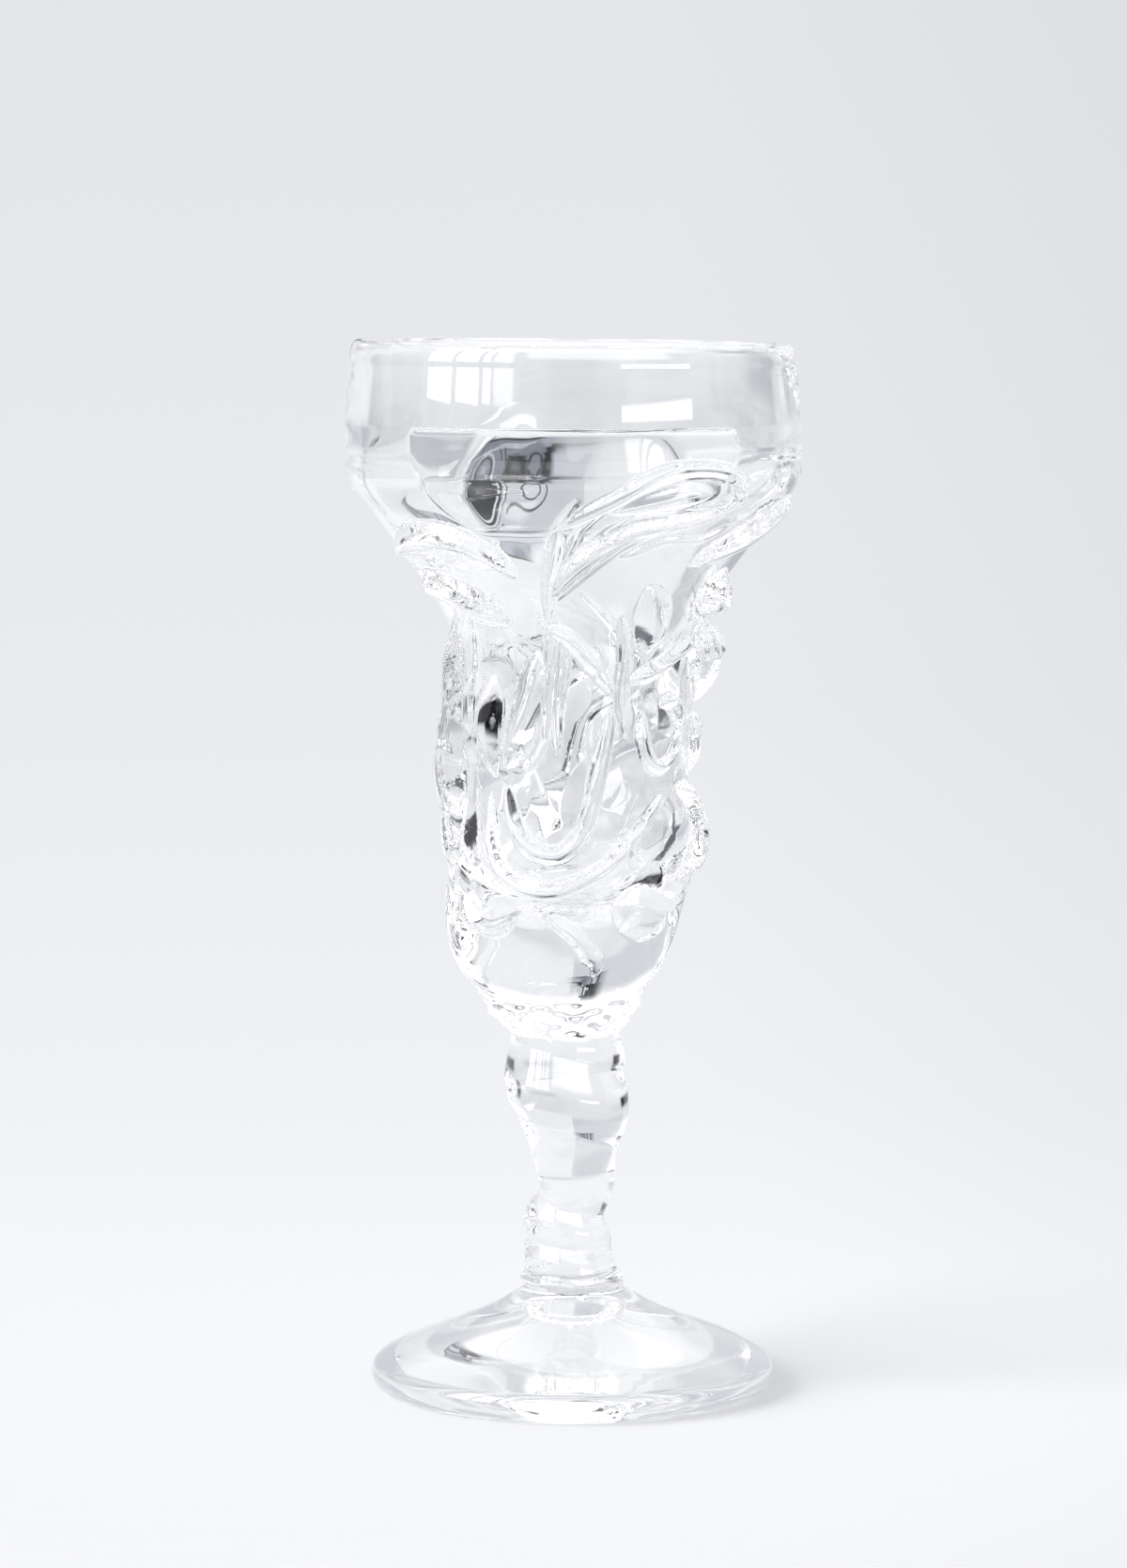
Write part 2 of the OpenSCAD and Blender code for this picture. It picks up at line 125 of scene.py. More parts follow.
def glassMaterial(name, look):
    # Soda-lime glass: water-clear with a breath of cold grey, mirror-smooth where the fire polished it,
    # and faintly rippled where tools and hands touched it while it was soft
    material = bpy.data.materials.new(name)
    material.use_nodes = True
    tree = material.node_tree
    shader = tree.nodes["Principled BSDF"]
    shader.inputs["IOR"].default_value = look["ior"]
    shader.inputs["Transmission Weight"].default_value = 1
    place = addNode(tree, "ShaderNodeNewGeometry").outputs["Position"]
    ripples = addNode(tree, "ShaderNodeTexNoise", {
        "Vector": place, "Scale": 1 / (look["rippleMm"] * mm), "Detail": 2, "Roughness": 0.4}).outputs["Fac"]
    smears = addNode(tree, "ShaderNodeTexNoise", {
        "Vector": place, "Scale": 1 / (look["smearMm"] * mm), "Detail": 3, "Roughness": 0.6}).outputs["Fac"]
    tint = addNode(tree, "ShaderNodeMix", {
        "Factor": smears, "A": linear(look["clear"]), "B": linear(look["cold"])}, data_type="RGBA")
    haze = addNode(tree, "ShaderNodeMapRange", {
        "Value": smears, "From Min": look["hazeFrom"], "From Max": look["hazeTo"],
        "To Min": 0, "To Max": look["haze"]})
    bump = addNode(tree, "ShaderNodeBump", {
        "Height": ripples, "Strength": look["rippleStrength"], "Distance": look["rippleHighMm"] * mm})
    tree.links.new(tint.outputs["Result"], shader.inputs["Base Color"])
    tree.links.new(haze.outputs["Result"], shader.inputs["Roughness"])
    tree.links.new(bump.outputs["Normal"], shader.inputs["Normal"])
    return material


def fusedJoint():  # where two gathers met hot nothing is left to see, so light passes straight on
    material = bpy.data.materials.new("soda-lime glass, fused joint")
    material.use_nodes = True
    tree = material.node_tree
    tree.nodes.remove(tree.nodes["Principled BSDF"])
    clear = addNode(tree, "ShaderNodeBsdfTransparent", {"Color": (1, 1, 1, 1)})
    tree.links.new(clear.outputs["BSDF"], tree.nodes["Material Output"].inputs["Surface"])
    return material


clearGlass = dict(ior=1.5, clear="ffffff", cold="fcfdfd", haze=0.02, hazeFrom=0.45, hazeTo=0.8)
# long, faint waves, so the wall stays clear
blownGlass = glassMaterial("soda-lime glass, blown and fire-polished", {
    **clearGlass, "rippleMm": 9, "rippleHighMm": 0.06, "rippleStrength": 0.15, "smearMm": 18})
# shorter waves, so that each trail glitters
laidGlass = glassMaterial("soda-lime glass, laid on hot", {
    **clearGlass, "rippleMm": 5, "rippleHighMm": 0.08, "rippleStrength": 0.2, "smearMm": 9})
# the shortest and deepest waves, so that light breaks up in the stem
drawnGlass = glassMaterial("soda-lime glass, drawn and twisted", {
    **clearGlass, "rippleMm": 4.5, "rippleHighMm": 0.12, "rippleStrength": 0.3, "smearMm": 10})
# long waves again, deeper than the cup's
spreadGlass = glassMaterial("soda-lime glass, spread and fire-polished", {
    **clearGlass, "rippleMm": 9, "rippleHighMm": 0.12, "rippleStrength": 0.25, "smearMm": 16})
jointGlass = fusedJoint()
print("materials made")


# Meshes

def makePiece(name, node, points, faces, seams, normals, materials):
    # points in mm; faces are quads, or triangles with -1 last; normals are one for each corner
    mesh = bpy.data.meshes.new(name)
    three = faces[:, 3] < 0
    sizes = np.where(three, 3, 4)
    keep = np.ones(faces.shape, bool)
    keep[three, 3] = False
    mesh.vertices.add(len(points))
    mesh.vertices.foreach_set("co", (points * mm).astype(np.float32).ravel())
    mesh.loops.add(int(sizes.sum()))
    mesh.loops.foreach_set("vertex_index", faces[keep].astype(np.int32))
    mesh.polygons.add(len(faces))
    mesh.polygons.foreach_set("loop_start", np.concatenate([[0], np.cumsum(sizes)[:-1]]).astype(np.int32))
    mesh.polygons.foreach_set("material_index", seams.astype(np.int32))
    mesh.polygons.foreach_set("use_smooth", np.ones(len(faces), bool))
    for material in materials:
        mesh.materials.append(material)
    mesh.update(calc_edges=True)
    mesh.normals_split_custom_set(normals[keep].tolist())
    piece = bpy.data.objects.new(name, mesh)
    bpy.context.scene.collection.objects.link(piece)
    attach(piece, "root")
    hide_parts(node)
    return piece


def unit(vectors):
    return vectors / np.maximum(np.linalg.norm(vectors, axis=-1, keepdims=True), 1e-12)


def gridNormals(points):  # outward normals of a grid of rings, rows going up the outside
    around = np.roll(points, -1, 1) - np.roll(points, 1, 1)
    along = np.gradient(points, axis=0)
    return unit(np.cross(around, along))


def gridFaces(rows, sides):
    j, i = np.meshgrid(np.arange(rows - 1), np.arange(sides), indexing="ij")
    right = (i + 1) % sides
    quads = [j * sides + i, j * sides + right, (j + 1) * sides + right, (j + 1) * sides + i]
    return np.stack(quads, -1).reshape(-1, 4)


def capFaces(ring, centre, upward):  # a fan from a ring to its centre
    after = np.roll(ring, -1)
    order = [ring, after] if upward else [after, ring]
    return np.stack([*order, np.full(len(ring), centre), np.full(len(ring), -1)], -1)


def capNormals(sides):  # down for the fan below, up for the fan above
    return np.repeat([[[0, 0, -1]] * 4, [[0, 0, 1]] * 4], sides, 0)


# The axis that all pieces are built round: the hot stem leant while it was drawn
lean = dict(
    heights=(0, 20, 27, 34, 41, 47, 57, 65, 71, 79, 90, 104, 122, 205),
    sideways=(0, 0, -0.7, -1.4, 0.5, 0.8, -1.0, -1.3, -1.6, -2.4, -1.7, -0.7, 0, 0),
    depth=(0, 0, 0.5, 0.6, -0.4, -0.8, -0.2, 0.6, 0.7, 0.5, 0.2, 0, 0, 0),
)
leanSideways = curveRows(lean["heights"], lean["sideways"])
leanDepth = curveRows(lean["heights"], lean["depth"])


def roundPoints(radius, a, z):  # a is the angle from the front, positive to the right
    x = radius * np.sin(a) + smoothCurve(leanSideways, z)
    y = -radius * np.cos(a) + smoothCurve(leanDepth, z)
    return np.stack([x, y, z + 0 * a], -1)


# Cup

cup = dict(
    sides=480,
    rows=300,
    # height over the cup's base, radius and slope of the outer wall, one row for each station
    wall=((0, 16, 1.1), (10, 21.6, 0.2), (45, 23.6, 0.02), (73, 25, 0.35), (92, 37.5, 0.75), (102, 44.2, 0),
          (111, 44.2, 0)),
    fineRows=4000,  # steps that measure the length of the wall's profile
    # waves of the wall: turns, mm per wave upwards, phase and height, then how much of them shows at heights
    # over the base and at the top
    wobble=((2, 60, 0.4, 0.5), (3, -38, 1.9, 0.4), (5, 27, 0.3, 0.2), (7, -19, 2.6, 0.1),
            (11, 14, 1.1, 0.03)),
    wobbleHeights=(0, 12, 70, 90),
    wobbleShares=(0.5, 1, 1, 0.4, 0.02),
    # creases where the skin folded over itself: turns, mm per wave upwards, warp and depth, then as above
    creases=((4, 46, 1.3, 0.2), (-5, 33, 1.1, 0.15), (7, -58, 0.9, 0.1)),
    creaseHeights=(0, 10, 24, 66, 80),
    creaseShares=(0, 0.12, 0.7, 1, 0.2, 0),
    creaseWarps=((3, -41), (2, 29)),  # turns and mm per wave of what bends the creases
    creaseSharp=0.8,
    creaseSink=0.6,
)
trailKinds = {  # width and height in mm
    "thread": dict(wide=3.3, high=2.0),
    "rope": dict(wide=6.4, high=2.9),
    "fold": dict(wide=8.4, high=2.7),
    "lobe": dict(wide=14, high=3.6),
    "prunt": dict(wide=10, high=4.6),
    "streak": dict(wide=1.9, high=0.6),
}
trailForm = dict(  # how every trail is laid
    legSteps=24,  # steps from one point of its route to the next
    taper=0.9,  # legs over which its ends die away
    taperPower=0.7,
    reach=1.6,  # widths to either side that are looked at
    slackMm=0.25,  # how far along the line a place may lie before it counts as past the end
    leastMm=0.05,  # least half width
    domePower=1.1,
    blend=4,  # how tightly crossing trails melt together
    skirt=1.05,  # half widths that still belong to the trail
)
# Each route's points hold an angle in degrees, a station of the wall and a swell
trails = {
    "left_swag": ("rope", [
        (-76, 3.72, 0.9), (-60, 3.86, 1.1), (-45, 3.92, 1.1), (-32, 3.8, 0.9), (-22, 3.5, 0.7)]),
    "left_fold": ("fold", [(-78, 3.36, 0.8), (-62, 3.38, 1), (-46, 3.24, 1), (-28, 3.04, 0.8)]),
    "left_ribbon": ("fold", [(-16, 2.84, 0.6), (-20, 2.54, 0.8), (-26, 2.24, 0.8), (-33, 2.02, 0.6)]),
    "left_leaf": ("fold", [(-39, 2.66, 0.5), (-43, 2.44, 0.8), (-45, 2.2, 0.8), (-41, 1.96, 0.5)]),
    "left_lobe": ("lobe", [
        (-68, 3, 0.6), (-78, 2.6, 0.9), (-81, 2.1, 1), (-77, 1.7, 0.8), (-70, 1.4, 0.5)]),
    "heel_thread": ("thread", [(-56, 1.32, 0.7), (-46, 1.16, 1), (-34, 1.14, 1), (-22, 1.24, 0.7)]),
    "outer_hairpin": ("thread", [
        (-10, 3.3, 1.5), (4, 3.75, 1.4), (20, 4.05, 1.2), (36, 4.25, 1), (46, 4.62, 1),
        (40, 5.08, 0.9), (25, 5.12, 1), (9, 4.56, 1.1), (-5, 4, 1.1)]),
    "tongue": ("fold", [(10, 4.3, 0.4), (20, 4.52, 0.6), (29, 4.64, 0.65), (37, 4.68, 0.5)]),
    "crossing_thread": ("thread", [(-12, 3, 0.9), (-3, 2.93, 1), (8, 2.75, 1), (18, 2.54, 1)]),
    "inner_loop": ("thread", [
        (-33, 1.92, 1), (-29, 1.74, 1.1), (-18, 1.58, 1.2), (-4, 1.56, 1.2), (6, 1.72, 1.1), (12, 2.1, 1),
        (17, 2.42, 1)]),
    "outer_loop": ("thread", [
        (-44, 1.88, 0.8), (-40, 1.6, 0.9), (-27, 1.4, 1), (-6, 1.36, 1), (16, 1.48, 0.9), (33, 1.68, 0.9),
        (45, 1.88, 0.8)]),
    "base_thread": ("thread", [(-9, 1.2, 0.8), (3, 1.12, 1), (13, 1, 1.1), (18, 0.82, 1), (17, 0.56, 0.8)]),
    "right_swag": ("rope", [
        (82, 4.5, 0.6), (72, 4.3, 0.9), (61, 3.96, 1.1), (51, 3.78, 0.9), (43, 3.62, 0.7)]),
    "right_curtain": ("fold", [(29, 3.42, 0.7), (35, 3.14, 1), (37, 2.98, 1), (36, 2.8, 0.7)]),
    "upper_prunt": ("prunt", [(58, 3.4, 0.7), (67, 3.34, 1), (75, 3.26, 1), (85, 3.2, 0.7)]),
    "side_prunt": ("prunt", [(84, 3, 0.6), (88, 2.86, 1.1), (90, 2.66, 1.1), (88, 2.42, 0.6)]),
    "side_fold": ("fold", [(88, 2.36, 0.7), (92, 2.22, 0.9), (94, 2.08, 0.9), (96, 1.94, 0.7)]),
    "hook_thread": ("thread", [
        (27, 2.62, 1), (41, 2.68, 1.1), (54, 2.78, 1), (65, 2.84, 1), (71, 2.74, 1), (68, 2.6, 0.9)]),
    "tear_loop": ("thread", [
        (33, 2.42, 0.8), (32, 2.22, 0.9), (36, 2.06, 0.9), (44, 2.04, 0.9), (53, 2.16, 0.9), (60, 2.34, 0.9),
        (54, 2.47, 0.9), (45, 2.44, 0.8)]),
    "crescent": ("rope", [
        (54, 1.9, 0.6), (70, 1.84, 0.8), (81, 1.66, 0.9), (75, 1.47, 0.8), (60, 1.38, 0.6)]),
    "heel_lobe": ("lobe", [(24, 1.28, 0.5), (33, 1.24, 0.7), (44, 1.18, 0.7), (55, 1.1, 0.5)]),
    "back_swag": ("rope", [
        (112, 4.5, 0.6), (130, 4.1, 1), (149, 3.9, 1.1), (168, 3.98, 1), (184, 4.36, 0.7)]),
    "back_fold": ("fold", [(204, 4.1, 0.7), (218, 3.7, 1), (236, 3.5, 1), (256, 3.62, 0.8)]),
    "back_hairpin": ("thread", [
        (146, 3.3, 1), (138, 2.86, 1.1), (136, 2.4, 1.1), (144, 2.14, 1), (154, 2.4, 1), (158, 2.84, 1),
        (170, 3.2, 1)]),
    "back_loop": ("thread", [
        (172, 2.7, 1), (172, 2.1, 1.1), (184, 1.74, 1.2), (200, 1.66, 1.2), (214, 1.84, 1.1), (220, 2.3, 1),
        (220, 2.8, 1)]),
    "back_prunt": ("prunt", [(196, 2.86, 0.6), (198, 2.64, 1), (199, 2.42, 1), (198, 2.16, 0.6)]),
    "back_lobe": ("lobe", [(238, 3, 0.5), (242, 2.6, 0.7), (242, 2.1, 0.8), (238, 1.64, 0.5)]),
    "back_tear": ("thread", [
        (112, 2.7, 0.8), (110, 2.44, 0.9), (113, 2.22, 0.9), (120, 2.2, 0.9), (126, 2.38, 0.9),
        (127, 2.64, 0.9), (121, 2.78, 0.8)]),
    "back_crescent": ("rope", [(104, 1.2, 0.6), (120, 1.16, 0.8), (138, 1.28, 0.9), (152, 1.56, 0.6)]),
    "back_thread": ("thread", [
        (168, 1.36, 0.8), (186, 1.2, 1), (206, 1.14, 1), (226, 1.24, 1), (240, 1.42, 0.8)]),
}

# Streaks that tools drew in the cup's own skin, fanning out from where the hairpin was pinched on
streaks = (
    ("thread", [(-4, 4.05, 0.9), (-7, 3.72, 0.9), (-10, 3.35, 0.8), (-11, 3.05, 0.6)]),
    ("streak", [(-9, 3.3, 1), (0, 3.62, 1.1), (9, 3.98, 1), (17, 4.3, 1), (24, 4.56, 0.8)]),
    ("streak", [(-8, 3.26, 1), (4, 3.56, 1.1), (15, 3.84, 1.2), (26, 4.0, 1), (37, 4.1, 0.8)]),
    ("streak", [(-10, 3.36, 1), (-3, 3.7, 1.1), (3, 4.1, 1), (9, 4.5, 1), (14, 4.85, 0.7)]),
    ("streak", [(-11, 3.4, 1), (-7, 3.8, 1), (-3, 4.2, 1), (1, 4.6, 0.8)]),
    ("streak", [(30, 4.4, 0.8), (40, 4.5, 1), (52, 4.8, 1), (58, 5.1, 0.8)]),
    ("streak", [(14, 3.7, 0.8), (28, 3.88, 1.2), (42, 3.9, 1.2), (54, 4.1, 0.8)]),
    ("streak", [(-9, 3.05, 1), (-11, 2.8, 1.3), (-13, 2.5, 1.3), (-14, 2.2, 0.9)]),
    ("streak", [(-5, 3.0, 1), (-6, 2.7, 1.4), (-8, 2.4, 1.2), (-7, 2.1, 0.9)]),
    ("streak", [(20, 3.1, 1), (24, 2.8, 1.4), (22, 2.5, 1.2), (24, 2.2, 0.9)]),
    ("streak", [(-50, 3.1, 1), (-54, 2.8, 1.4), (-56, 2.4, 1.2), (-53, 2.0, 0.9)]),
)

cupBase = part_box("cup")[0].z / mm
cupTop = topOf("cup")
wallRows = [(cupBase + z, r, slope) for z, r, slope in cup["wall"]]
stationZ = [row[0] for row in wallRows]

# rows of the outer wall, evenly spaced along its profile
fineZ = np.linspace(cupBase, cupTop, cup["fineRows"])
fineR = smoothCurve(wallRows, fineZ)
fineArc = np.concatenate([[0], np.cumsum(np.hypot(np.diff(fineZ), np.diff(fineR)))])
wallArc = np.linspace(0, fineArc[-1], cup["rows"])
wallZ = np.interp(wallArc, fineArc, fineZ)
wallR = smoothCurve(wallRows, wallZ)
slopeStep = 0.05
wallRise = smoothCurve(wallRows, wallZ + slopeStep) - smoothCurve(wallRows, wallZ - slopeStep)
wallSlope = wallRise / (2 * slopeStep)
angles = np.arange(cup["sides"]) / cup["sides"] * 2 * np.pi
gridA, gridZ = np.meshgrid(angles, wallZ)


def overWall(height):  # points of the outer wall, raised by height along its normal
    out = 1 / np.sqrt(1 + wallSlope ** 2)[:, None]
    radius = wallR[:, None] + height * out
    return roundPoints(radius, gridA, gridZ - height * out * wallSlope[:, None])


def layTrail(kind, route):
    # the height that a trail adds, how far across it each place lies, and the part of the wall that it covers
    size = trailKinds[kind]
    last = len(route) - 1
    u = np.linspace(0, last, trailForm["legSteps"] * last + 1)
    line = through(route, u)
    end = np.minimum(np.minimum(u, last - u) / trailForm["taper"], 1)
    swell = line[:, 2] * np.sin(end * np.pi / 2) ** trailForm["taperPower"]
    lineA = np.radians(line[:, 0])
    lineZ = np.interp(line[:, 1], range(len(stationZ)), stationZ)
    lineArc = np.interp(lineZ, fineZ, fineArc)
    lineR = smoothCurve(wallRows, lineZ)
    reach = size["wide"] * trailForm["reach"]
    rows = np.where((wallArc > lineArc.min() - reach) & (wallArc < lineArc.max() + reach))[0]
    middle = (lineA.min() + lineA.max()) / 2
    spread = (lineA.max() - lineA.min()) / 2 + reach / lineR.min()
    away = (angles - middle + np.pi) % (2 * np.pi) - np.pi
    columns = np.where(np.abs(away) < spread)[0]
    across = (away[columns][None, :, None] - (lineA - middle)) * wallR[rows][:, None, None]
    upward = (wallArc[rows][:, None] - lineArc)[:, None, :] + 0 * across
    near = np.argmin(across ** 2 + upward ** 2, -1)
    pick = near[..., None]
    across = np.take_along_axis(across, pick, -1)[..., 0]
    upward = np.take_along_axis(upward, pick, -1)[..., 0]
    run = unit(np.stack([np.gradient(lineA) * lineR, np.gradient(lineArc)], -1))
    side = across * run[near, 1] - upward * run[near, 0]
    ahead = np.abs(across * run[near, 0] + upward * run[near, 1])
    past = np.maximum(ahead - trailForm["slackMm"], 0)
    half = np.maximum(size["wide"] / 2 * swell[near], trailForm["leastMm"])
    t = np.hypot(side, past) / half
    dome = np.clip(1 - t ** 2, 0, 1) ** trailForm["domePower"]
    return size["high"] * swell[near] * dome, t, np.ix_(rows, columns)


def shareUp(heights, shares):  # shares at heights over the cup's base, and the last of them at its top
    return smoothCurve(curveRows([cupBase + height for height in heights] + [cupTop], shares), gridZ)


# the bed is the wall as it was before anything was laid on it
bed = ripple(gridA, gridZ, cup["wobble"]) * shareUp(cup["wobbleHeights"], cup["wobbleShares"])
creased = shareUp(cup["creaseHeights"], cup["creaseShares"])
for turns, length, warp, deep in cup["creases"]:
    phase = turns * gridA + 2 * np.pi * gridZ / length
    for warpTurns, warpLength in cup["creaseWarps"]:
        phase = phase + warp * np.sin(warpTurns * gridA + 2 * np.pi * gridZ / warpLength)
    bed = bed + creased * deep * (np.abs(np.sin(phase)) ** cup["creaseSharp"] - cup["creaseSink"])
blend = trailForm["blend"]
power = np.zeros_like(gridA)
highest = np.zeros_like(gridA)
owner = np.full(gridA.shape, -1)
for number, (kind, route) in enumerate(trails.values()):
    height, t, part = layTrail(kind, route)
    power[part] += height ** blend
    mine = (height > highest[part]) & (t < trailForm["skirt"])
    highest[part] = np.where(mine, height, highest[part])
    owner[part] = np.where(mine, number, owner[part])
for kind, route in streaks:
    height, _, part = layTrail(kind, route)
    power[part] += height ** blend
relief = bed + power ** (1 / blend)
topPoints, bedPoints = overWall(relief), overWall(bed)
topNormals, bedNormals = gridNormals(topPoints), gridNormals(bedPoints)
print("relief laid on the cup")

# a cell belongs to a trail where all its corners do, and a vertex lies inside where all its cells do
sameAcross = owner == np.roll(owner, -1, 1)
sameCell = sameAcross[:-1] & sameAcross[1:] & (owner[:-1] == owner[1:])
cellOwner = np.where(sameCell, owner[:-1], -1)


def insideOf(cells):
    full = np.zeros(gridA.shape, bool)
    full[1:-1] = cells[1:] & cells[:-1] & np.roll(cells, 1, 1)[1:] & np.roll(cells, 1, 1)[:-1]
    return full


cellCorners = gridFaces(cup["rows"], cup["sides"])
covered = np.zeros(gridA.shape, bool)
for number, name in enumerate(trails):
    inside = insideOf(cellOwner == number)
    covered |= inside
    holds = inside.ravel()[cellCorners].any(1).reshape(cellOwner.shape)
    cellOwner[(cellOwner == number) & ~holds] = -1
    corners = cellCorners[(cellOwner == number).ravel()]
    used = np.unique(corners)
    below = used[inside.ravel()[used]]
    topIndex = np.full(gridA.size, -1)
    topIndex[used] = np.arange(len(used))
    lowIndex = topIndex.copy()
    lowIndex[below] = len(used) + np.arange(len(below))
    points = np.concatenate([topPoints.reshape(-1, 3)[used], bedPoints.reshape(-1, 3)[below]])
    faces = np.concatenate([topIndex[corners], lowIndex[corners[:, ::-1]]])
    normals = np.concatenate([
        topNormals.reshape(-1, 3)[corners], -bedNormals.reshape(-1, 3)[corners[:, ::-1]]])
    seams = np.repeat([0, 1], len(corners))
    makePiece(name + "_glass", name, points, faces, seams, normals, [laidGlass, jointGlass])
print("trails made:", len(trails))

# The cup's own skin: the relief where it is bare, the bed under what is laid on it, then the hollow
hollow = dict(
    floorThick=13,
    floorDegrees=(90, 3),  # the round floor turns from the wall to the pit
    floorRows=20,
    pitDip=0.02,
    # height over the hollow's floor, radius and slope of its wall, from where the round floor ends
    wall=((18.6, 18.6, 0.05), (60, 20, 0.35), (85, 36.4, 0.66), (91, 39.8, 0.3), (94, 40.2, 0),
          (98, 40.2, 0)),
    # the ledge left inside the front of the mouth: its face in the same terms, and the chord that it ends at
    ledge=((74, 30.9, 0.2), (79.5, 32.1, 0.2), (86, 33.85, 0.28), (89.2, 33.8, -0.36), (97, 31, -0.36)),
    ledgeChord=27.5,
    leastCosine=0.1,  # keeps the chord finite at the sides and the back
    ledgeDrop=0.2,
    ledgeRound=2,  # radius of its upper edge
    chordSoft=0.5,  # how softly its face meets the chord
    wallSoft=0.3,  # how softly it runs out into the wall
    noLedge=99,  # a radius well outside the wall
    topRows=14,
    edgeMm=1.5,  # the rows are close together this far down the edge
    edgeRows=12,
    faceRows=70,
    waves=((2, 70, 1.2, 0.3), (3, -45, 0.5, 0.25), (5, 31, 2.2, 0.12)),
    mouthWaves=((17, 55, 0.6, 0.05), (24, -40, 1.9, 0.035)),
    stillMm=2,  # no waves this near to the axis, and all of them growMm further out
    growMm=12,
    seamMm=5,  # the waves die away this far below the seam
    mouthMm=35,  # the mouth's own waves reach down this far
)
outer = np.where(covered[..., None], bedPoints, topPoints)
floorZ = cupBase + hollow["floorThick"]
hollowRows = [(floorZ + z, r, slope) for z, r, slope in hollow["wall"]]
ledgeRows = [(floorZ + z, r, slope) for z, r, slope in hollow["ledge"]]
roundR, mouthR = hollowRows[0][1], hollowRows[-1][1]
around = np.ones(cup["sides"])
# down the hollow from the seam: over the ledge's top, down its face and the wall, then round the floor
chordR = hollow["ledgeChord"] / np.maximum(np.cos(angles), hollow["leastCosine"])
ledgeZ = cupTop - hollow["ledgeDrop"]
edgeDrop = hollow["edgeMm"] * np.linspace(0, 1, hollow["edgeRows"]) ** 2
faceDrop = np.linspace(hollow["edgeMm"], ledgeZ - hollowRows[0][0], hollow["faceRows"])
drop = np.concatenate([edgeDrop, faceDrop[1:]])
faceZ = (ledgeZ - drop)[:, None] * around
plainR = smoothCurve(hollowRows, faceZ)
soft = hollow["chordSoft"]
ledgeR = soft * np.logaddexp(smoothCurve(ledgeRows, faceZ) / soft, chordR / soft)
edge = np.clip(1 - drop[:, None] / hollow["ledgeRound"], 0, 1)
ledgeR = ledgeR + hollow["ledgeRound"] * (1 - np.sqrt(1 - edge ** 2))
ledgeR = np.where(faceZ > ledgeRows[0][0], ledgeR, hollow["noLedge"])
soft = hollow["wallSoft"]
faceR = -soft * np.logaddexp(-ledgeR / soft, -plainR / soft)
top = np.linspace(0, 1, hollow["topRows"])[:-1, None]
bend = np.radians(np.linspace(*hollow["floorDegrees"], hollow["floorRows"]))[1:, None]
hollowR = np.concatenate([mouthR + (faceR[0] - mouthR) * top, faceR, roundR * np.sin(bend) * around])
hollowZ = np.concatenate([
    cupTop - hollow["ledgeDrop"] * top * around, faceZ, floorZ + roundR * (1 - np.cos(bend)) * around])
hollowA = angles + 0 * hollowZ
still = np.clip((hollowR - hollow["stillMm"]) / hollow["growMm"], 0, 1)
still = still * np.clip((cupTop - hollowZ) / hollow["seamMm"], 0, 1)
mouth = still * np.clip((hollowZ - cupTop + hollow["mouthMm"]) / hollow["growMm"], 0, 1)
waved = ripple(hollowA, hollowZ, hollow["waves"]) * still
waved = waved + ripple(hollowA, hollowZ, hollow["mouthWaves"]) * mouth
inner = roundPoints(hollowR + waved, hollowA, hollowZ)
sides, rows = cup["sides"], cup["rows"]
shell = np.concatenate([outer, inner])
shellNormals = np.concatenate([topNormals, gridNormals(inner)])
faces = gridFaces(len(shell), sides)
seamFaces = slice((rows - 1) * sides, rows * sides)  # the flat ring that the rim band is joined to
seams = np.zeros(len(faces), int)
seams[:seamFaces.start] = (cellOwner >= 0).ravel()
seams[seamFaces] = 1
normals = shellNormals.reshape(-1, 3)[faces]
normals[seamFaces] = (0, 0, 1)
ends = len(shell) * sides
bottom, pit = np.arange(sides), np.arange(sides) + (len(shell) - 1) * sides
caps = np.concatenate([capFaces(bottom, ends, False), capFaces(pit, ends + 1, True)])
tips = np.stack([shell[0].mean(0), shell[-1].mean(0) - (0, 0, hollow["pitDip"])])
makePiece(
    "cup_glass", "cup", np.concatenate([shell.reshape(-1, 3), tips]),
    np.concatenate([faces, caps]), np.concatenate([seams, np.repeat([1, 0], sides)]),
    np.concatenate([normals, capNormals(sides)]), [blownGlass, jointGlass])
print("cup made")


def turnedPiece(name, node, points, materials, low, high):
    # rings stacked into a closed piece; low and high say whether its ends are fused joints
    rows, sides = points.shape[:2]
    skin = gridNormals(points)
    if low is None:  # the last ring joins the first again, face to face with what the piece sits on
        faces = gridFaces(rows + 1, sides) % (rows * sides)
        normals = np.concatenate([skin, skin[:1]]).reshape(-1, 3)[gridFaces(rows + 1, sides)]
        normals[-sides:] = (0, 0, -1)
        seams = np.zeros(len(faces), int)
        seams[-sides:] = 1
        return makePiece(name, node, points.reshape(-1, 3), faces, seams, normals, materials)
    faces = gridFaces(rows, sides)
    ends = rows * sides
    bottom, top = np.arange(sides), np.arange(sides) + (rows - 1) * sides
    caps = np.concatenate([capFaces(bottom, ends, False), capFaces(top, ends + 1, True)])
    tips = np.stack([points[0].mean(0), points[-1].mean(0)])
    seams = np.concatenate([np.zeros(len(faces), int), np.repeat([int(low), int(high)], sides)])
    return makePiece(
        name, node, np.concatenate([points.reshape(-1, 3), tips]), np.concatenate([faces, caps]),
        seams, np.concatenate([skin.reshape(-1, 3)[faces], capNormals(sides)]), materials)


# Rim band

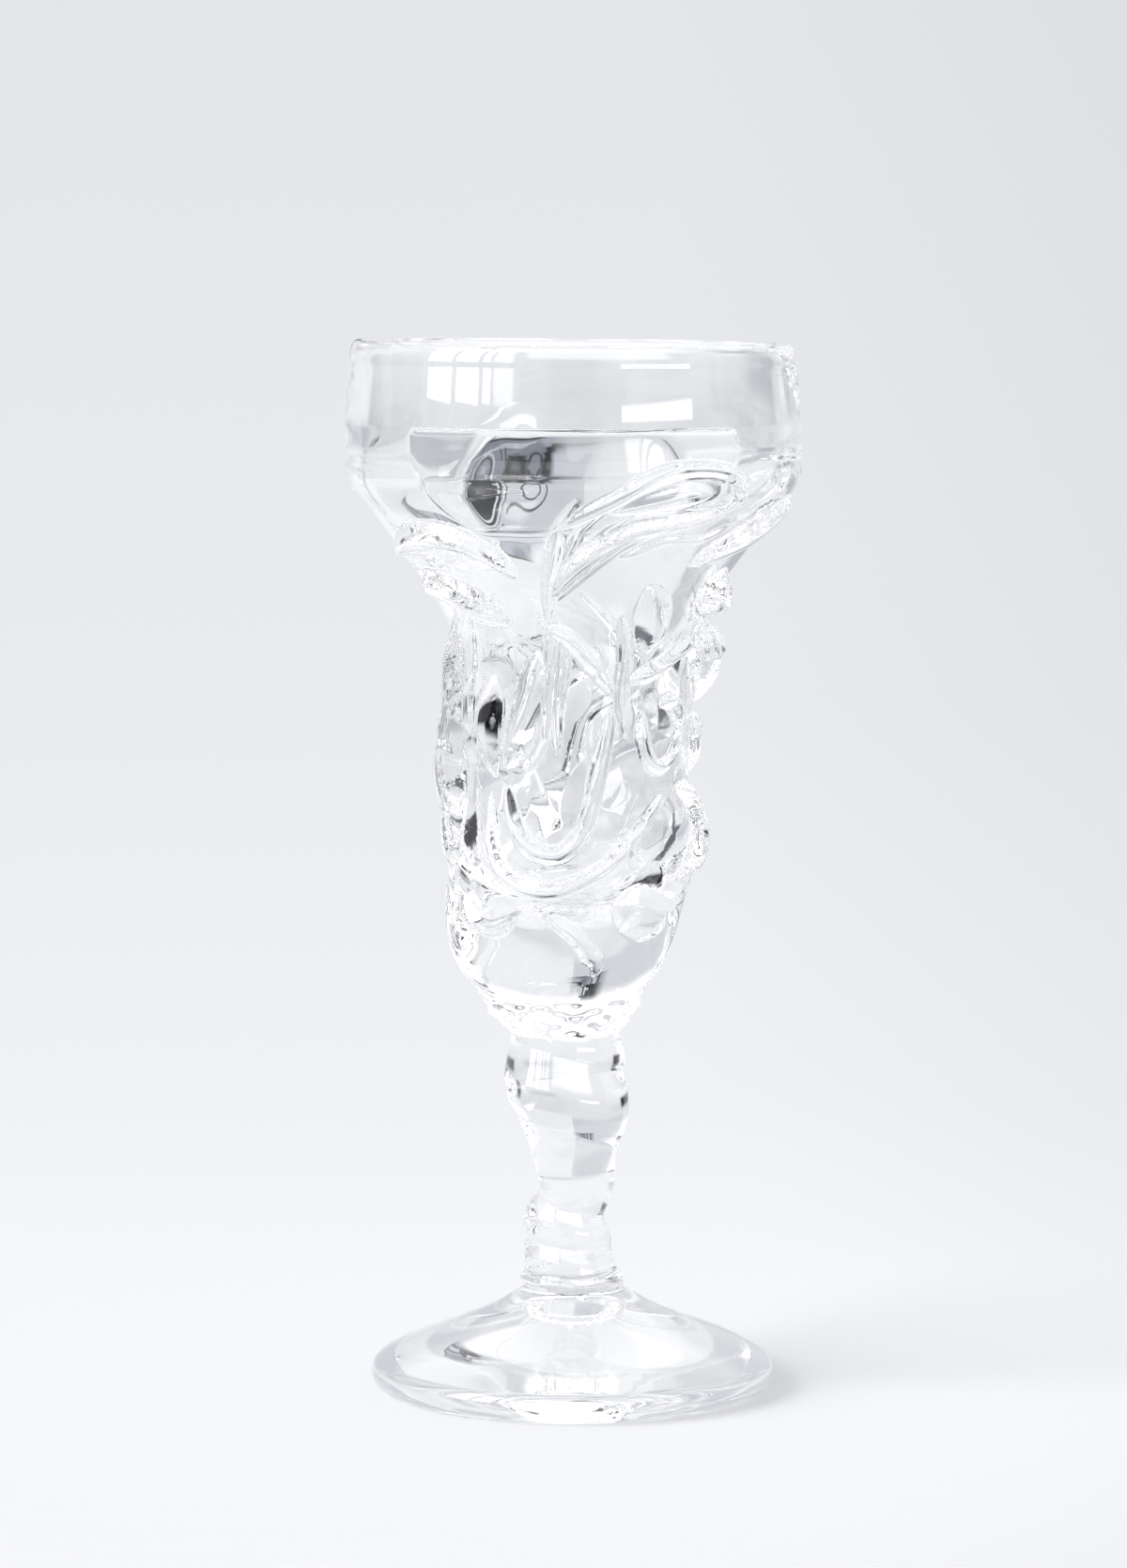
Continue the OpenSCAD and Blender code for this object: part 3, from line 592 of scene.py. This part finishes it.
band = dict(
    outer=44.2,
    thick=4,
    lipThick=2.9,
    lipOut=4.4,  # height of the lip's outer and inner rounding
    lipIn=2,
    draw=1.0,  # how far the wall is drawn in on its way up, and how late
    drawPower=1.5,
    tilt=0.9,  # the lip is lower by this much on the right
    riseMm=9,  # the joint's waves give way to the band's own over this height
    waves=((2, 90, 0.3, 0.05), (3, -60, 1.1, 0.03), (5, 44, 2.3, 0.015)),
    wallRows=24,
    lipRows=20,
)
bandTop = topOf("rim_band")
outZ, inZ = bandTop - band["lipOut"], bandTop - band["lipIn"]
climb = np.linspace(0, 1, band["wallRows"])
turn = np.linspace(0, np.pi / 2, band["lipRows"])[1:]
edgeR, half = band["outer"] - band["draw"], band["lipThick"] / 2
footR, innerR = band["outer"] - band["thick"], edgeR - band["lipThick"]
bandR = np.concatenate([
    band["outer"] - band["draw"] * climb ** band["drawPower"], edgeR - half * (1 - np.cos(turn)),
    edgeR - half - half * np.sin(turn), (footR + (innerR - footR) * climb[::-1])[1:]])
bandZ = np.concatenate([
    cupTop + (outZ - cupTop) * climb, outZ + band["lipOut"] * np.sin(turn),
    inZ + band["lipIn"] * np.cos(turn), (cupTop + (inZ - cupTop) * climb[::-1])[1:]])
bandA, bandZs = np.meshgrid(angles, bandZ)
rise = np.clip((bandZs - cupTop) / band["riseMm"], 0, 1)
joined = ripple(bandA, bandZs, cup["wobble"]) * cup["wobbleShares"][-1] * (1 - rise)
lowered = band["tilt"] * np.clip((bandZs - cupTop) / (bandTop - cupTop), 0, 1) * (np.sin(bandA) + 1) / 2
bandRadius = bandR[:, None] + ripple(bandA, bandZs, band["waves"]) * rise + joined
turnedPiece(
    "rim_band_glass", "rim_band", roundPoints(bandRadius, bandA, bandZs - lowered),
    [blownGlass, jointGlass], None, None)
print("rim band made")

# Stem, wafers and foot

stem = dict(
    sides=240,
    rowMm=0.4,
    # radius by height over the foot's wafer
    heights=(0, 11, 19, 24.5, 34.2, 41.5, 47.5),
    radii=(9.2, 7.9, 7.4, 8.6, 11.6, 11.6, 10.5),
    creases=(13, 22.5, 28.2, 36, 51, 66.5, 82),  # heights at the front where one pillow meets the next
    pillows=(0.5, 0.6, 0.9, 1.2, 1.5, 1.3, 1),  # how far the pillows stand out there
    pillowSink=0.64,  # a pillow's mean, taken off so that the radius stays as it is on the whole
    lumps=((1, 17, 0.4, 0.12), (3, -23, 1.7, 0.14), (4, 29, 0.8, 0.08)),
    endPower=0.6,  # how soon the relief starts at either end
)
stemAngles = np.arange(stem["sides"]) / stem["sides"] * 2 * np.pi
waferTop, twistTop, knopTop = topOf("foot_wafer"), topOf("stem_twist"), topOf("stem_knop")
stemRows = curveRows(stem["heights"], stem["radii"])
creaseRows = curveRows(stem["creases"], np.arange(len(stem["creases"])))
pillowRows = curveRows(stem["creases"], stem["pillows"])


def stemRings(low, high):
    z = np.linspace(low, high, int((high - low) / stem["rowMm"]) + 1)
    a, zs = np.meshgrid(stemAngles, z)
    quiet = np.sin(np.pi * (zs - waferTop) / (knopTop - waferTop)) ** stem["endPower"]
    wound = np.abs(np.sin(a / 2 + np.pi * smoothCurve(creaseRows, zs)))  # one pillow wound round the stem
    flutes = smoothCurve(pillowRows, zs) * (wound - stem["pillowSink"])
    radius = smoothCurve(stemRows, zs - waferTop)
    return roundPoints(radius + (flutes + ripple(a, zs, stem["lumps"])) * quiet, a, zs)


stemGlass = [drawnGlass, jointGlass]
for name, low, high in (("stem_twist", waferTop, twistTop), ("stem_knop", twistTop, knopTop)):
    turnedPiece(name + "_glass", name, stemRings(low, high), stemGlass, True, True)

waferRowMm = 0.2
wafers = {  # radii below and above, bulge of the edge, and crinkles
    "foot_wafer": dict(low=9.8, high=9.8, bulge=0.35, crinkle=((3, 11, 0.2, 0.08), (7, -5, 1.4, 0.05))),
    "cup_wafer": dict(low=10.5, high=16, bulge=0.7, crinkle=(
        (4, 6.1, 0.3, 0.3), (7, -4.3, 1.1, 0.25), (11, 3.4, 2.2, 0.18), (15, -2.7, 0.6, 0.12))),
}
for name, wafer in wafers.items():
    low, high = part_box(name)[0].z / mm, topOf(name)
    z = np.linspace(low, high, int((high - low) / waferRowMm) + 1)
    a, zs = np.meshgrid(stemAngles, z)
    share = (zs - low) / (high - low)
    quiet = np.sin(np.pi * share)
    radius = wafer["low"] + (wafer["high"] - wafer["low"]) * share + wafer["bulge"] * quiet
    rings = roundPoints(radius + ripple(a, zs, wafer["crinkle"]) * quiet, a, zs)
    turnedPiece(name + "_glass", name, rings, stemGlass, True, True)

foot = dict(
    outer=39.5,
    high=20,
    top=9.8,
    edge=3.4,  # radius of the rounded edge, and how far round it goes before the cone starts
    edgeTurn=55,
    coneLeave=(-2.2, 1.5),  # the cone's first handle, in radii of the edge
    coneShare=0.62,  # height of its second handle
    hollow=32,
    hollowHigh=10.5,
    punty=8,  # radius of the flat mark in the hollow
    centre=0.4,  # radius of the innermost ring
    # the scar that the punty left round the mark, and how uneven it is
    scar=dict(radius=6.2, wide=1.4, high=1.5, uneven=0.5),
    scarWaves=((5, 40, 0.4, 0.5), (11, 40, 1.3, 0.5), (23, 40, 2.2, 0.5)),
    waves=((2, 50, 0.3, 0.15), (3, -40, 1.2, 0.12), (5, 33, 2.1, 0.06)),
    settle=(3, 4),  # the waves die away over this much at the table and at the wafer
    rows=dict(mark=24, hollow=60, ring=6, edge=31, cone=70),
)
steps, scar = foot["rows"], foot["scar"]
edgeAt = np.array([foot["outer"] - foot["edge"], foot["edge"]])
edgeTurns = np.radians(np.linspace(-90, foot["edgeTurn"], steps["edge"]))[:, None]
edgeArc = edgeAt + foot["edge"] * np.concatenate([np.cos(edgeTurns), np.sin(edgeTurns)], 1)
flatMark = np.stack([
    np.linspace(foot["centre"], foot["punty"], steps["mark"]), np.full(steps["mark"], foot["hollowHigh"])], 1)
hollowLine = bezier(
    (foot["punty"], foot["hollowHigh"]), (foot["punty"] + foot["hollowHigh"] / 2, foot["hollowHigh"] / 2),
    (foot["hollow"] - foot["hollowHigh"], foot["hollowHigh"] / 4), (foot["hollow"], 0), steps["hollow"])
coneLine = bezier(
    edgeArc[-1], edgeArc[-1] + np.array(foot["coneLeave"]) * foot["edge"],
    (foot["top"] + foot["high"] / 2, foot["high"] * foot["coneShare"]), (foot["top"], foot["high"]),
    steps["cone"])
ringR = np.linspace(foot["hollow"], edgeArc[0, 0], steps["ring"])[1:-1]
ring = np.stack([ringR, np.zeros(len(ringR))], 1)
footLine = np.concatenate([flatMark[:-1], hollowLine, ring, edgeArc, coneLine[1:]])
footA, footRs = np.meshgrid(stemAngles, footLine[:, 0])
footZs = footLine[:, 1][:, None] + 0 * footA
under = np.arange(len(footLine))[:, None] < len(flatMark) + len(hollowLine)
broken = 1 + scar["uneven"] * ripple(footA, footZs, foot["scarWaves"])
scarred = np.exp(-((footRs - scar["radius"]) / (scar["wide"] / 2)) ** 2)
footZs = footZs - under * scar["high"] * broken * scarred
settleLow, settleHigh = foot["settle"]
settled = np.clip(footZs / settleLow, 0, 1) * np.clip((foot["high"] - footZs) / settleHigh, 0, 1)
footPoints = roundPoints(footRs + ripple(footA, footZs, foot["waves"]) * settled, footA, footZs)
turnedPiece("foot_glass", "foot", footPoints, [spreadGlass, jointGlass], False, True)
print("stem and foot made")


# Stage, light and camera

stage = dict(
    floorMm=900,
    roughness=0.9,
    floor="f5f6fa",
    sweepNear="f6f7fb",
    sweepFar="f0f1f5",
    glow=0.4,  # share of painted glow, light that the paper gives off by itself, in what is seen of it; it keeps the shadows on the paper pale
    dim=0.94,  # the sweep and the backdrop darken to this on the right
)
degrees = 180 / math.pi


def paleFloor():
    # Matt white paper, laid flat: it has no gloss, and it runs into the backdrop without an edge
    # The paper also gives off a painted glow of its own, which keeps the object's shadow on it pale
    mesh = bpy.data.meshes.new("floor")
    half = stage["floorMm"] / 2 * mm
    corners = [(-half, -half, 0), (half, -half, 0), (half, half, 0), (-half, half, 0)]
    mesh.from_pydata(corners, [], [(0, 1, 2, 3)])
    floor = bpy.data.objects.new("floor", mesh)
    bpy.context.scene.collection.objects.link(floor)
    material = bpy.data.materials.new("pale paper with painted glow")
    material.use_nodes = True
    tree = material.node_tree
    shader = tree.nodes["Principled BSDF"]
    shader.inputs["Base Color"].default_value = linear(stage["floor"])
    shader.inputs["Roughness"].default_value = stage["roughness"]
    shader.inputs["Specular IOR Level"].default_value = 0
    place = addNode(tree, "ShaderNodeNewGeometry").outputs["Position"]
    far = addNode(tree, "ShaderNodeVectorMath", {0: place}, operation="LENGTH").outputs["Value"]
    across, back, _ = addNode(tree, "ShaderNodeSeparateXYZ", {0: place}).outputs
    runs = dict(  # what is measured, from and to in mm, and the values there
        sweep=(far, 70, 200, 0, 1),
        depth=(back, 56, 450, 0, 1),
        dim=(across, 30, 150, 1, stage["dim"]),
        rim=(far, 300, 440, 0, 1),
        front=(back, -220, -110, 1, 0),
    )
    ease = {}
    for name, (value, fromMm, toMm, fromValue, toValue) in runs.items():
        ease[name] = addNode(tree, "ShaderNodeMapRange", {
            "Value": value, "From Min": fromMm * mm, "From Max": toMm * mm,
            "To Min": fromValue, "To Max": toValue}, interpolation_type="SMOOTHSTEP").outputs["Result"]
    ray = addNode(tree, "ShaderNodeLightPath").outputs
    # painted glow: all rays but the paper's own diffuse ones see this share of its colour as light that it
    # gives off
    seen = addNode(tree, "ShaderNodeMath", {
        0: ray["Is Diffuse Ray"], 1: -stage["glow"], 2: stage["glow"]}, operation="MULTIPLY_ADD")
    glow = addNode(tree, "ShaderNodeEmission", {"Color": linear(stage["floor"]), "Strength": 1})
    paper = addNode(tree, "ShaderNodeMixShader", {
        0: seen.outputs[0], 1: shader.outputs["BSDF"], 2: glow.outputs["Emission"]})
    sweepColour = addNode(tree, "ShaderNodeMix", {
        "Factor": ease["depth"], "A": linear(stage["sweepNear"]), "B": linear(stage["sweepFar"])},
        data_type="RGBA")
    sweep = addNode(tree, "ShaderNodeEmission", {
        "Color": sweepColour.outputs["Result"], "Strength": ease["dim"]})
    whole = addNode(tree, "ShaderNodeMixShader", {
        0: ease["sweep"], 1: paper.outputs["Shader"], 2: sweep.outputs["Emission"]})
    clear = addNode(tree, "ShaderNodeBsdfTransparent")
    ends = addNode(tree, "ShaderNodeMath", {0: ease["rim"], 1: ease["front"]}, operation="MAXIMUM")
    mix = addNode(tree, "ShaderNodeMixShader", {
        0: ends.outputs[0], 1: whole.outputs["Shader"], 2: clear.outputs["BSDF"]})
    tree.links.new(mix.outputs["Shader"], tree.nodes["Material Output"].inputs["Surface"])
    mesh.materials.append(material)
    floor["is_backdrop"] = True


def angleOf(tree, side, ahead):  # angle in degrees of a way that goes so far to the side and ahead
    turned = addNode(tree, "ShaderNodeMath", {0: side, 1: ahead}, operation="ARCTAN2").outputs[0]
    return addNode(tree, "ShaderNodeMath", {0: turned, 1: degrees}, operation="MULTIPLY").outputs[0]


def panel(tree, azimuth, elevation, left, right, low, high, soft):  # 1 inside a soft-edged panel
    inside = 1.0
    edges = ((azimuth, left, 1), (azimuth, right, -1), (elevation, low, 1), (elevation, high, -1))
    for value, edge, sign in edges:
        step = addNode(tree, "ShaderNodeMapRange", {
            "Value": value, "From Min": edge - sign * soft / 2, "From Max": edge + sign * soft / 2},
            interpolation_type="SMOOTHSTEP").outputs["Result"]
        inside = addNode(tree, "ShaderNodeMath", {0: inside, 1: step}, operation="MULTIPLY").outputs[0]
    return inside


def darkCard():
    # Matt card in black and greys, out of the camera's own sight: the thick front of the mouth bends it into
    # view as crisp dark marks
    size = dict(
        left=-170, right=60, low=190, high=420, backMm=500,  # where it stands
        sideMm=620, nearMm=460, eyeMm=180,  # where its angles are measured from
    )
    shown = [  # left, right, low, high and soft edge in degrees, and colour
        (-181, -166, 2.5, 9.5, 0.6, "7d828e"),
        (177.5, 181, 2.5, 9.5, 0.8, "a4a9b4"),
        (-181, -177, 2.5, 6, 1, "a4a9b4"),
        (-172.4, -166, 9.5, 26, 0.4, "1a1c22"),
        (-175.1, -172, 9.5, 26, 0.3, "010102"),
        (-175.95, -175.1, 10.4, 20, 0.15, "1c1e26"),
        (-175.8, -175.25, 11.2, 18.5, 0.15, "d8dce2"),
        (-173, -172.6, 2.5, 9.5, 0.3, "1a1c24"),
        (-173.5, -173.2, 3, 9.5, 0.3, "c4c9d4"),
        (-172, -171, 2.5, 9.5, 0.5, "c4c9d4"),
        (-170.8, -170, 2.5, 9.5, 0.4, "1a1c24"),
        (-174.5, -174, 11, 18, 0.3, "e4e8ee"),
        (-174.2, -172.9, 12.4, 13.6, 0.3, "e4e8ee"),
        (-175.1, -174.9, 4.6, 8.4, 0.2, "10121a"),
        (-175.9, -175.7, 4.6, 8.4, 0.2, "10121a"),
        (-176.6, -175.9, 7.6, 10.4, 0.6, "030406"),
        (-177.3, -176.2, 6.6, 8.2, 0.6, "030406"),
        (-178.4, -176.9, 5.8, 7, 0.6, "030406"),
        (-181, -178, 5.4, 6.4, 0.5, "030406"),
        (177.5, 181, 5.4, 6.2, 0.5, "030406"),
        (-181, -177.8, 7, 9.5, 1, "c9cdd5"),
        (178, 181, 6.8, 9.5, 1, "c9cdd5"),
        (-181, -166, 2.4, 3, 0.3, "101218"),
        (177.5, 181, 2.4, 3, 0.3, "101218"),
        (-176.9, -176.7, 10.4, 14.5, 0.2, "20222a"),
    ]
    corners = [(size[side] * mm, size["backMm"] * mm, size[end] * mm) for side, end in (
        ("left", "low"), ("right", "low"), ("right", "high"), ("left", "high"))]
    mesh = bpy.data.meshes.new("dark card")
    mesh.from_pydata(corners, [], [(0, 1, 2, 3)])
    card = bpy.data.objects.new("dark card", mesh)
    bpy.context.scene.collection.objects.link(card)
    card.visible_camera = False
    card.visible_diffuse = False
    material = bpy.data.materials.new("matt card, dark")
    material.use_nodes = True
    tree = material.node_tree
    tree.nodes.remove(tree.nodes["Principled BSDF"])
    place = addNode(tree, "ShaderNodeNewGeometry").outputs["Position"]
    x, _, z = addNode(tree, "ShaderNodeSeparateXYZ", {0: place}).outputs
    over = addNode(tree, "ShaderNodeMath", {0: z, 1: size["eyeMm"] * mm}, operation="SUBTRACT").outputs[0]
    azimuth = angleOf(tree, x, -size["sideMm"] * mm)
    elevation = angleOf(tree, over, size["nearMm"] * mm)
    cover, colour = 0.0, linear(shown[0][-1])
    for left, right, low, high, soft, hexColour in shown:
        inside = panel(tree, azimuth, elevation, left, right, low, high, soft)
        cover = addNode(tree, "ShaderNodeMath", {0: cover, 1: inside}, operation="MAXIMUM").outputs[0]
        colour = addNode(tree, "ShaderNodeMix", {
            "Factor": inside, "A": colour, "B": linear(hexColour)}, data_type="RGBA").outputs["Result"]
    fades = ((x, -150, -95), (z, 420, 320), (x, 28, -36))  # mm over which its left, top and right end come in
    for value, fromMm, toMm in fades:
        end = addNode(tree, "ShaderNodeMapRange", {
            "Value": value, "From Min": fromMm * mm, "From Max": toMm * mm},
            interpolation_type="SMOOTHSTEP").outputs["Result"]
        cover = addNode(tree, "ShaderNodeMath", {0: cover, 1: end}, operation="MULTIPLY").outputs[0]
    glow = addNode(tree, "ShaderNodeEmission", {"Color": colour, "Strength": 1})
    clear = addNode(tree, "ShaderNodeBsdfTransparent")
    mix = addNode(tree, "ShaderNodeMixShader", {
        0: cover, 1: clear.outputs["BSDF"], 2: glow.outputs["Emission"]})
    tree.links.new(mix.outputs["Shader"], tree.nodes["Material Output"].inputs["Surface"])
    mesh.materials.append(material)
    card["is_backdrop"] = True


studio = dict(
    # colours of the backdrop by share of the way up from low to high, in degrees
    low=-16,
    high=8,
    backdrop=((0, "f9fafe"), (0.2, "f6f7fb"), (0.32, "f0f1f5"), (0.47, "eaebef"), (0.8, "e4e5e9")),
    dimFrom=0.02,  # how far to the right it starts and ends to darken
    dimTo=0.1,
    # what the glass bends and mirrors: left, right, low, high and soft edge in degrees, colour and strength
    panels=(
        (-181, 181, 4, 30, 4, "f0f1f5", 1),  # pale walls
        (-181, 181, 30, 91, 10, "ffffff", 1.7),  # bright ceiling
        (-181, -128, 5, 24, 6, "d0d2d7", 1),  # shade at the back on the left
        (-78, 78, 0, 30, 8, "5c5e64", 1),  # dim room in front
        (-14, 15, -45, 30, 16, "0c0d10", 1),  # the darkest part of it, behind the camera
        (-70, 70, -86, -16, 8, "14151a", 1),  # dark ground in front
        (-134, -88, -14, -1, 5, "16171b", 1),  # flags at both sides, which draw the edges
        (88, 132, -14, -1, 5, "5a5d64", 1),
        (-79, -64.5, 6, 15, 0.8, "ffffff", 7),  # lower panes of the window
        (-61.5, -49, 6.7, 15, 0.8, "ffffff", 7),
        (-46.5, -42.5, 7.3, 15, 0.8, "ffffff", 7),
        (-40.5, -31, 7.6, 15, 3, "ffffff", 5),
        (24, 62, 3, 7.5, 1, "ffffff", 7),  # low strip of light on the right
        (148, 171, -45, -8, 6, "b8bac0", 1),  # grey card low at the back
    ),
    # the same for the tall lights, which the outer skin alone mirrors
    highlights=(
        (-79, -64.5, 6, 44, 0.8, "ffffff", 8),
        (-61.5, -49, 6.7, 44, 0.8, "ffffff", 8),
        (-46.5, -42.5, 7.3, 44, 0.8, "ffffff", 8),
        (-40.5, -31, 7.6, 44, 3, "ffffff", 5),
        (-24, 52, 16, 44, 7, "ffffff", 4.5),
    ),
    # what lights the floor: an even fill, and the window as one soft pane
    fill=0.54,
    window=8,
    windowPane=(-88, -37, 8.5, 44, 2),
)


def studioWorld():
    world = bpy.data.worlds.new("studio")
    bpy.context.scene.world = world
    world.use_nodes = True
    world.cycles.sampling_method = "NONE"  # the floor is lit by what its own rays find, glass or not
    tree = world.node_tree
    tree.nodes.clear()

    way = addNode(tree, "ShaderNodeTexCoord").outputs["Generated"]
    x, y, z = addNode(tree, "ShaderNodeSeparateXYZ", {0: way}).outputs
    forward = addNode(tree, "ShaderNodeMath", {0: y, 1: -1}, operation="MULTIPLY").outputs[0]
    azimuth = angleOf(tree, x, forward)
    raised = addNode(tree, "ShaderNodeMath", {0: z}, operation="ARCSINE").outputs[0]
    elevation = addNode(tree, "ShaderNodeMath", {0: raised, 1: degrees}, operation="MULTIPLY").outputs[0]

    height = addNode(tree, "ShaderNodeMapRange", {
        "Value": elevation, "From Min": studio["low"], "From Max": studio["high"]})
    ramp = addNode(tree, "ShaderNodeValToRGB", {"Fac": height.outputs["Result"]})
    stops = ramp.color_ramp.elements
    for _ in studio["backdrop"][2:]:
        stops.new(0.5)
    for stop, (at, colour) in zip(stops, studio["backdrop"]):
        stop.position = at
        stop.color = linear(colour)
    dim = addNode(tree, "ShaderNodeMapRange", {
        "Value": x, "From Min": studio["dimFrom"], "From Max": studio["dimTo"],
        "To Min": 1, "To Max": stage["dim"]})
    seen = addNode(tree, "ShaderNodeMix", {
        "Factor": 1, "A": ramp.outputs["Color"], "B": dim.outputs["Result"]},
        data_type="RGBA", blend_type="MULTIPLY").outputs["Result"]
    ray = addNode(tree, "ShaderNodeLightPath").outputs
    # 1 for light that has not passed into the glass, which the outer skin mirrors
    skin = addNode(tree, "ShaderNodeMath", {
        0: ray["Transmission Depth"], 1: 0.5}, operation="LESS_THAN").outputs[0]
    lights = [(1.0, row) for row in studio["panels"]] + [(skin, row) for row in studio["highlights"]]
    room = seen
    for share, (left, right, low, high, soft, colour, strength) in lights:
        bright = tuple(c * strength for c in linear(colour)[:3]) + (1,)
        inside = panel(tree, azimuth, elevation, left, right, low, high, soft)
        inside = addNode(tree, "ShaderNodeMath", {0: inside, 1: share}, operation="MULTIPLY").outputs[0]
        room = addNode(tree, "ShaderNodeMix", {
            "Factor": inside, "A": room, "B": bright}, data_type="RGBA").outputs["Result"]
    optical = addNode(tree, "ShaderNodeMath", {
        0: ray["Is Glossy Ray"], 1: ray["Is Transmission Ray"]}, operation="MAXIMUM").outputs[0]
    fill = addNode(tree, "ShaderNodeMix", {
        "Factor": panel(tree, azimuth, elevation, *studio["windowPane"]),
        "A": (*[studio["fill"]] * 3, 1), "B": (*[studio["window"]] * 3, 1)}, data_type="RGBA")
    soft = addNode(tree, "ShaderNodeBackground", {"Color": fill.outputs["Result"], "Strength": 1})
    plain = addNode(tree, "ShaderNodeBackground", {"Color": seen, "Strength": 1})
    full = addNode(tree, "ShaderNodeBackground", {"Color": room, "Strength": 1})
    first = addNode(tree, "ShaderNodeMixShader", {
        0: ray["Is Camera Ray"], 1: soft.outputs[0], 2: plain.outputs[0]})
    second = addNode(tree, "ShaderNodeMixShader", {0: optical, 1: first.outputs[0], 2: full.outputs[0]})
    addNode(tree, "ShaderNodeOutputWorld", {"Surface": second.outputs[0]})


def photoCamera():
    # the photograph's own view: a long lens a little above the rim, tipped down to the middle of the glass
    view = dict(sideMm=-1.8, backMm=1068, upMm=222.6, tipDegrees=5.555, lens=126.6, sensorMm=36)
    data = bpy.data.cameras.new("camera")
    data.sensor_width = view["sensorMm"]
    data.lens = view["lens"]
    camera = bpy.data.objects.new("camera", data)
    camera.location = (view["sideMm"] * mm, -view["backMm"] * mm, view["upMm"] * mm)
    camera.rotation_euler = (math.radians(90 - view["tipDegrees"]), 0, 0)
    bpy.context.scene.collection.objects.link(camera)
    bpy.context.scene.camera = camera


paleFloor()
darkCard()
studioWorld()
photoCamera()
scene = bpy.context.scene
scene.view_settings.view_transform = "Standard"
glassBounces, jointBounces = 96, 256  # light meets many walls and joints before it leaves the glass
scene.cycles.max_bounces = glassBounces
scene.cycles.transmission_bounces = glassBounces
scene.cycles.glossy_bounces = glassBounces
scene.cycles.transparent_max_bounces = jointBounces
print("stage, light and camera set")

low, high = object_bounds()
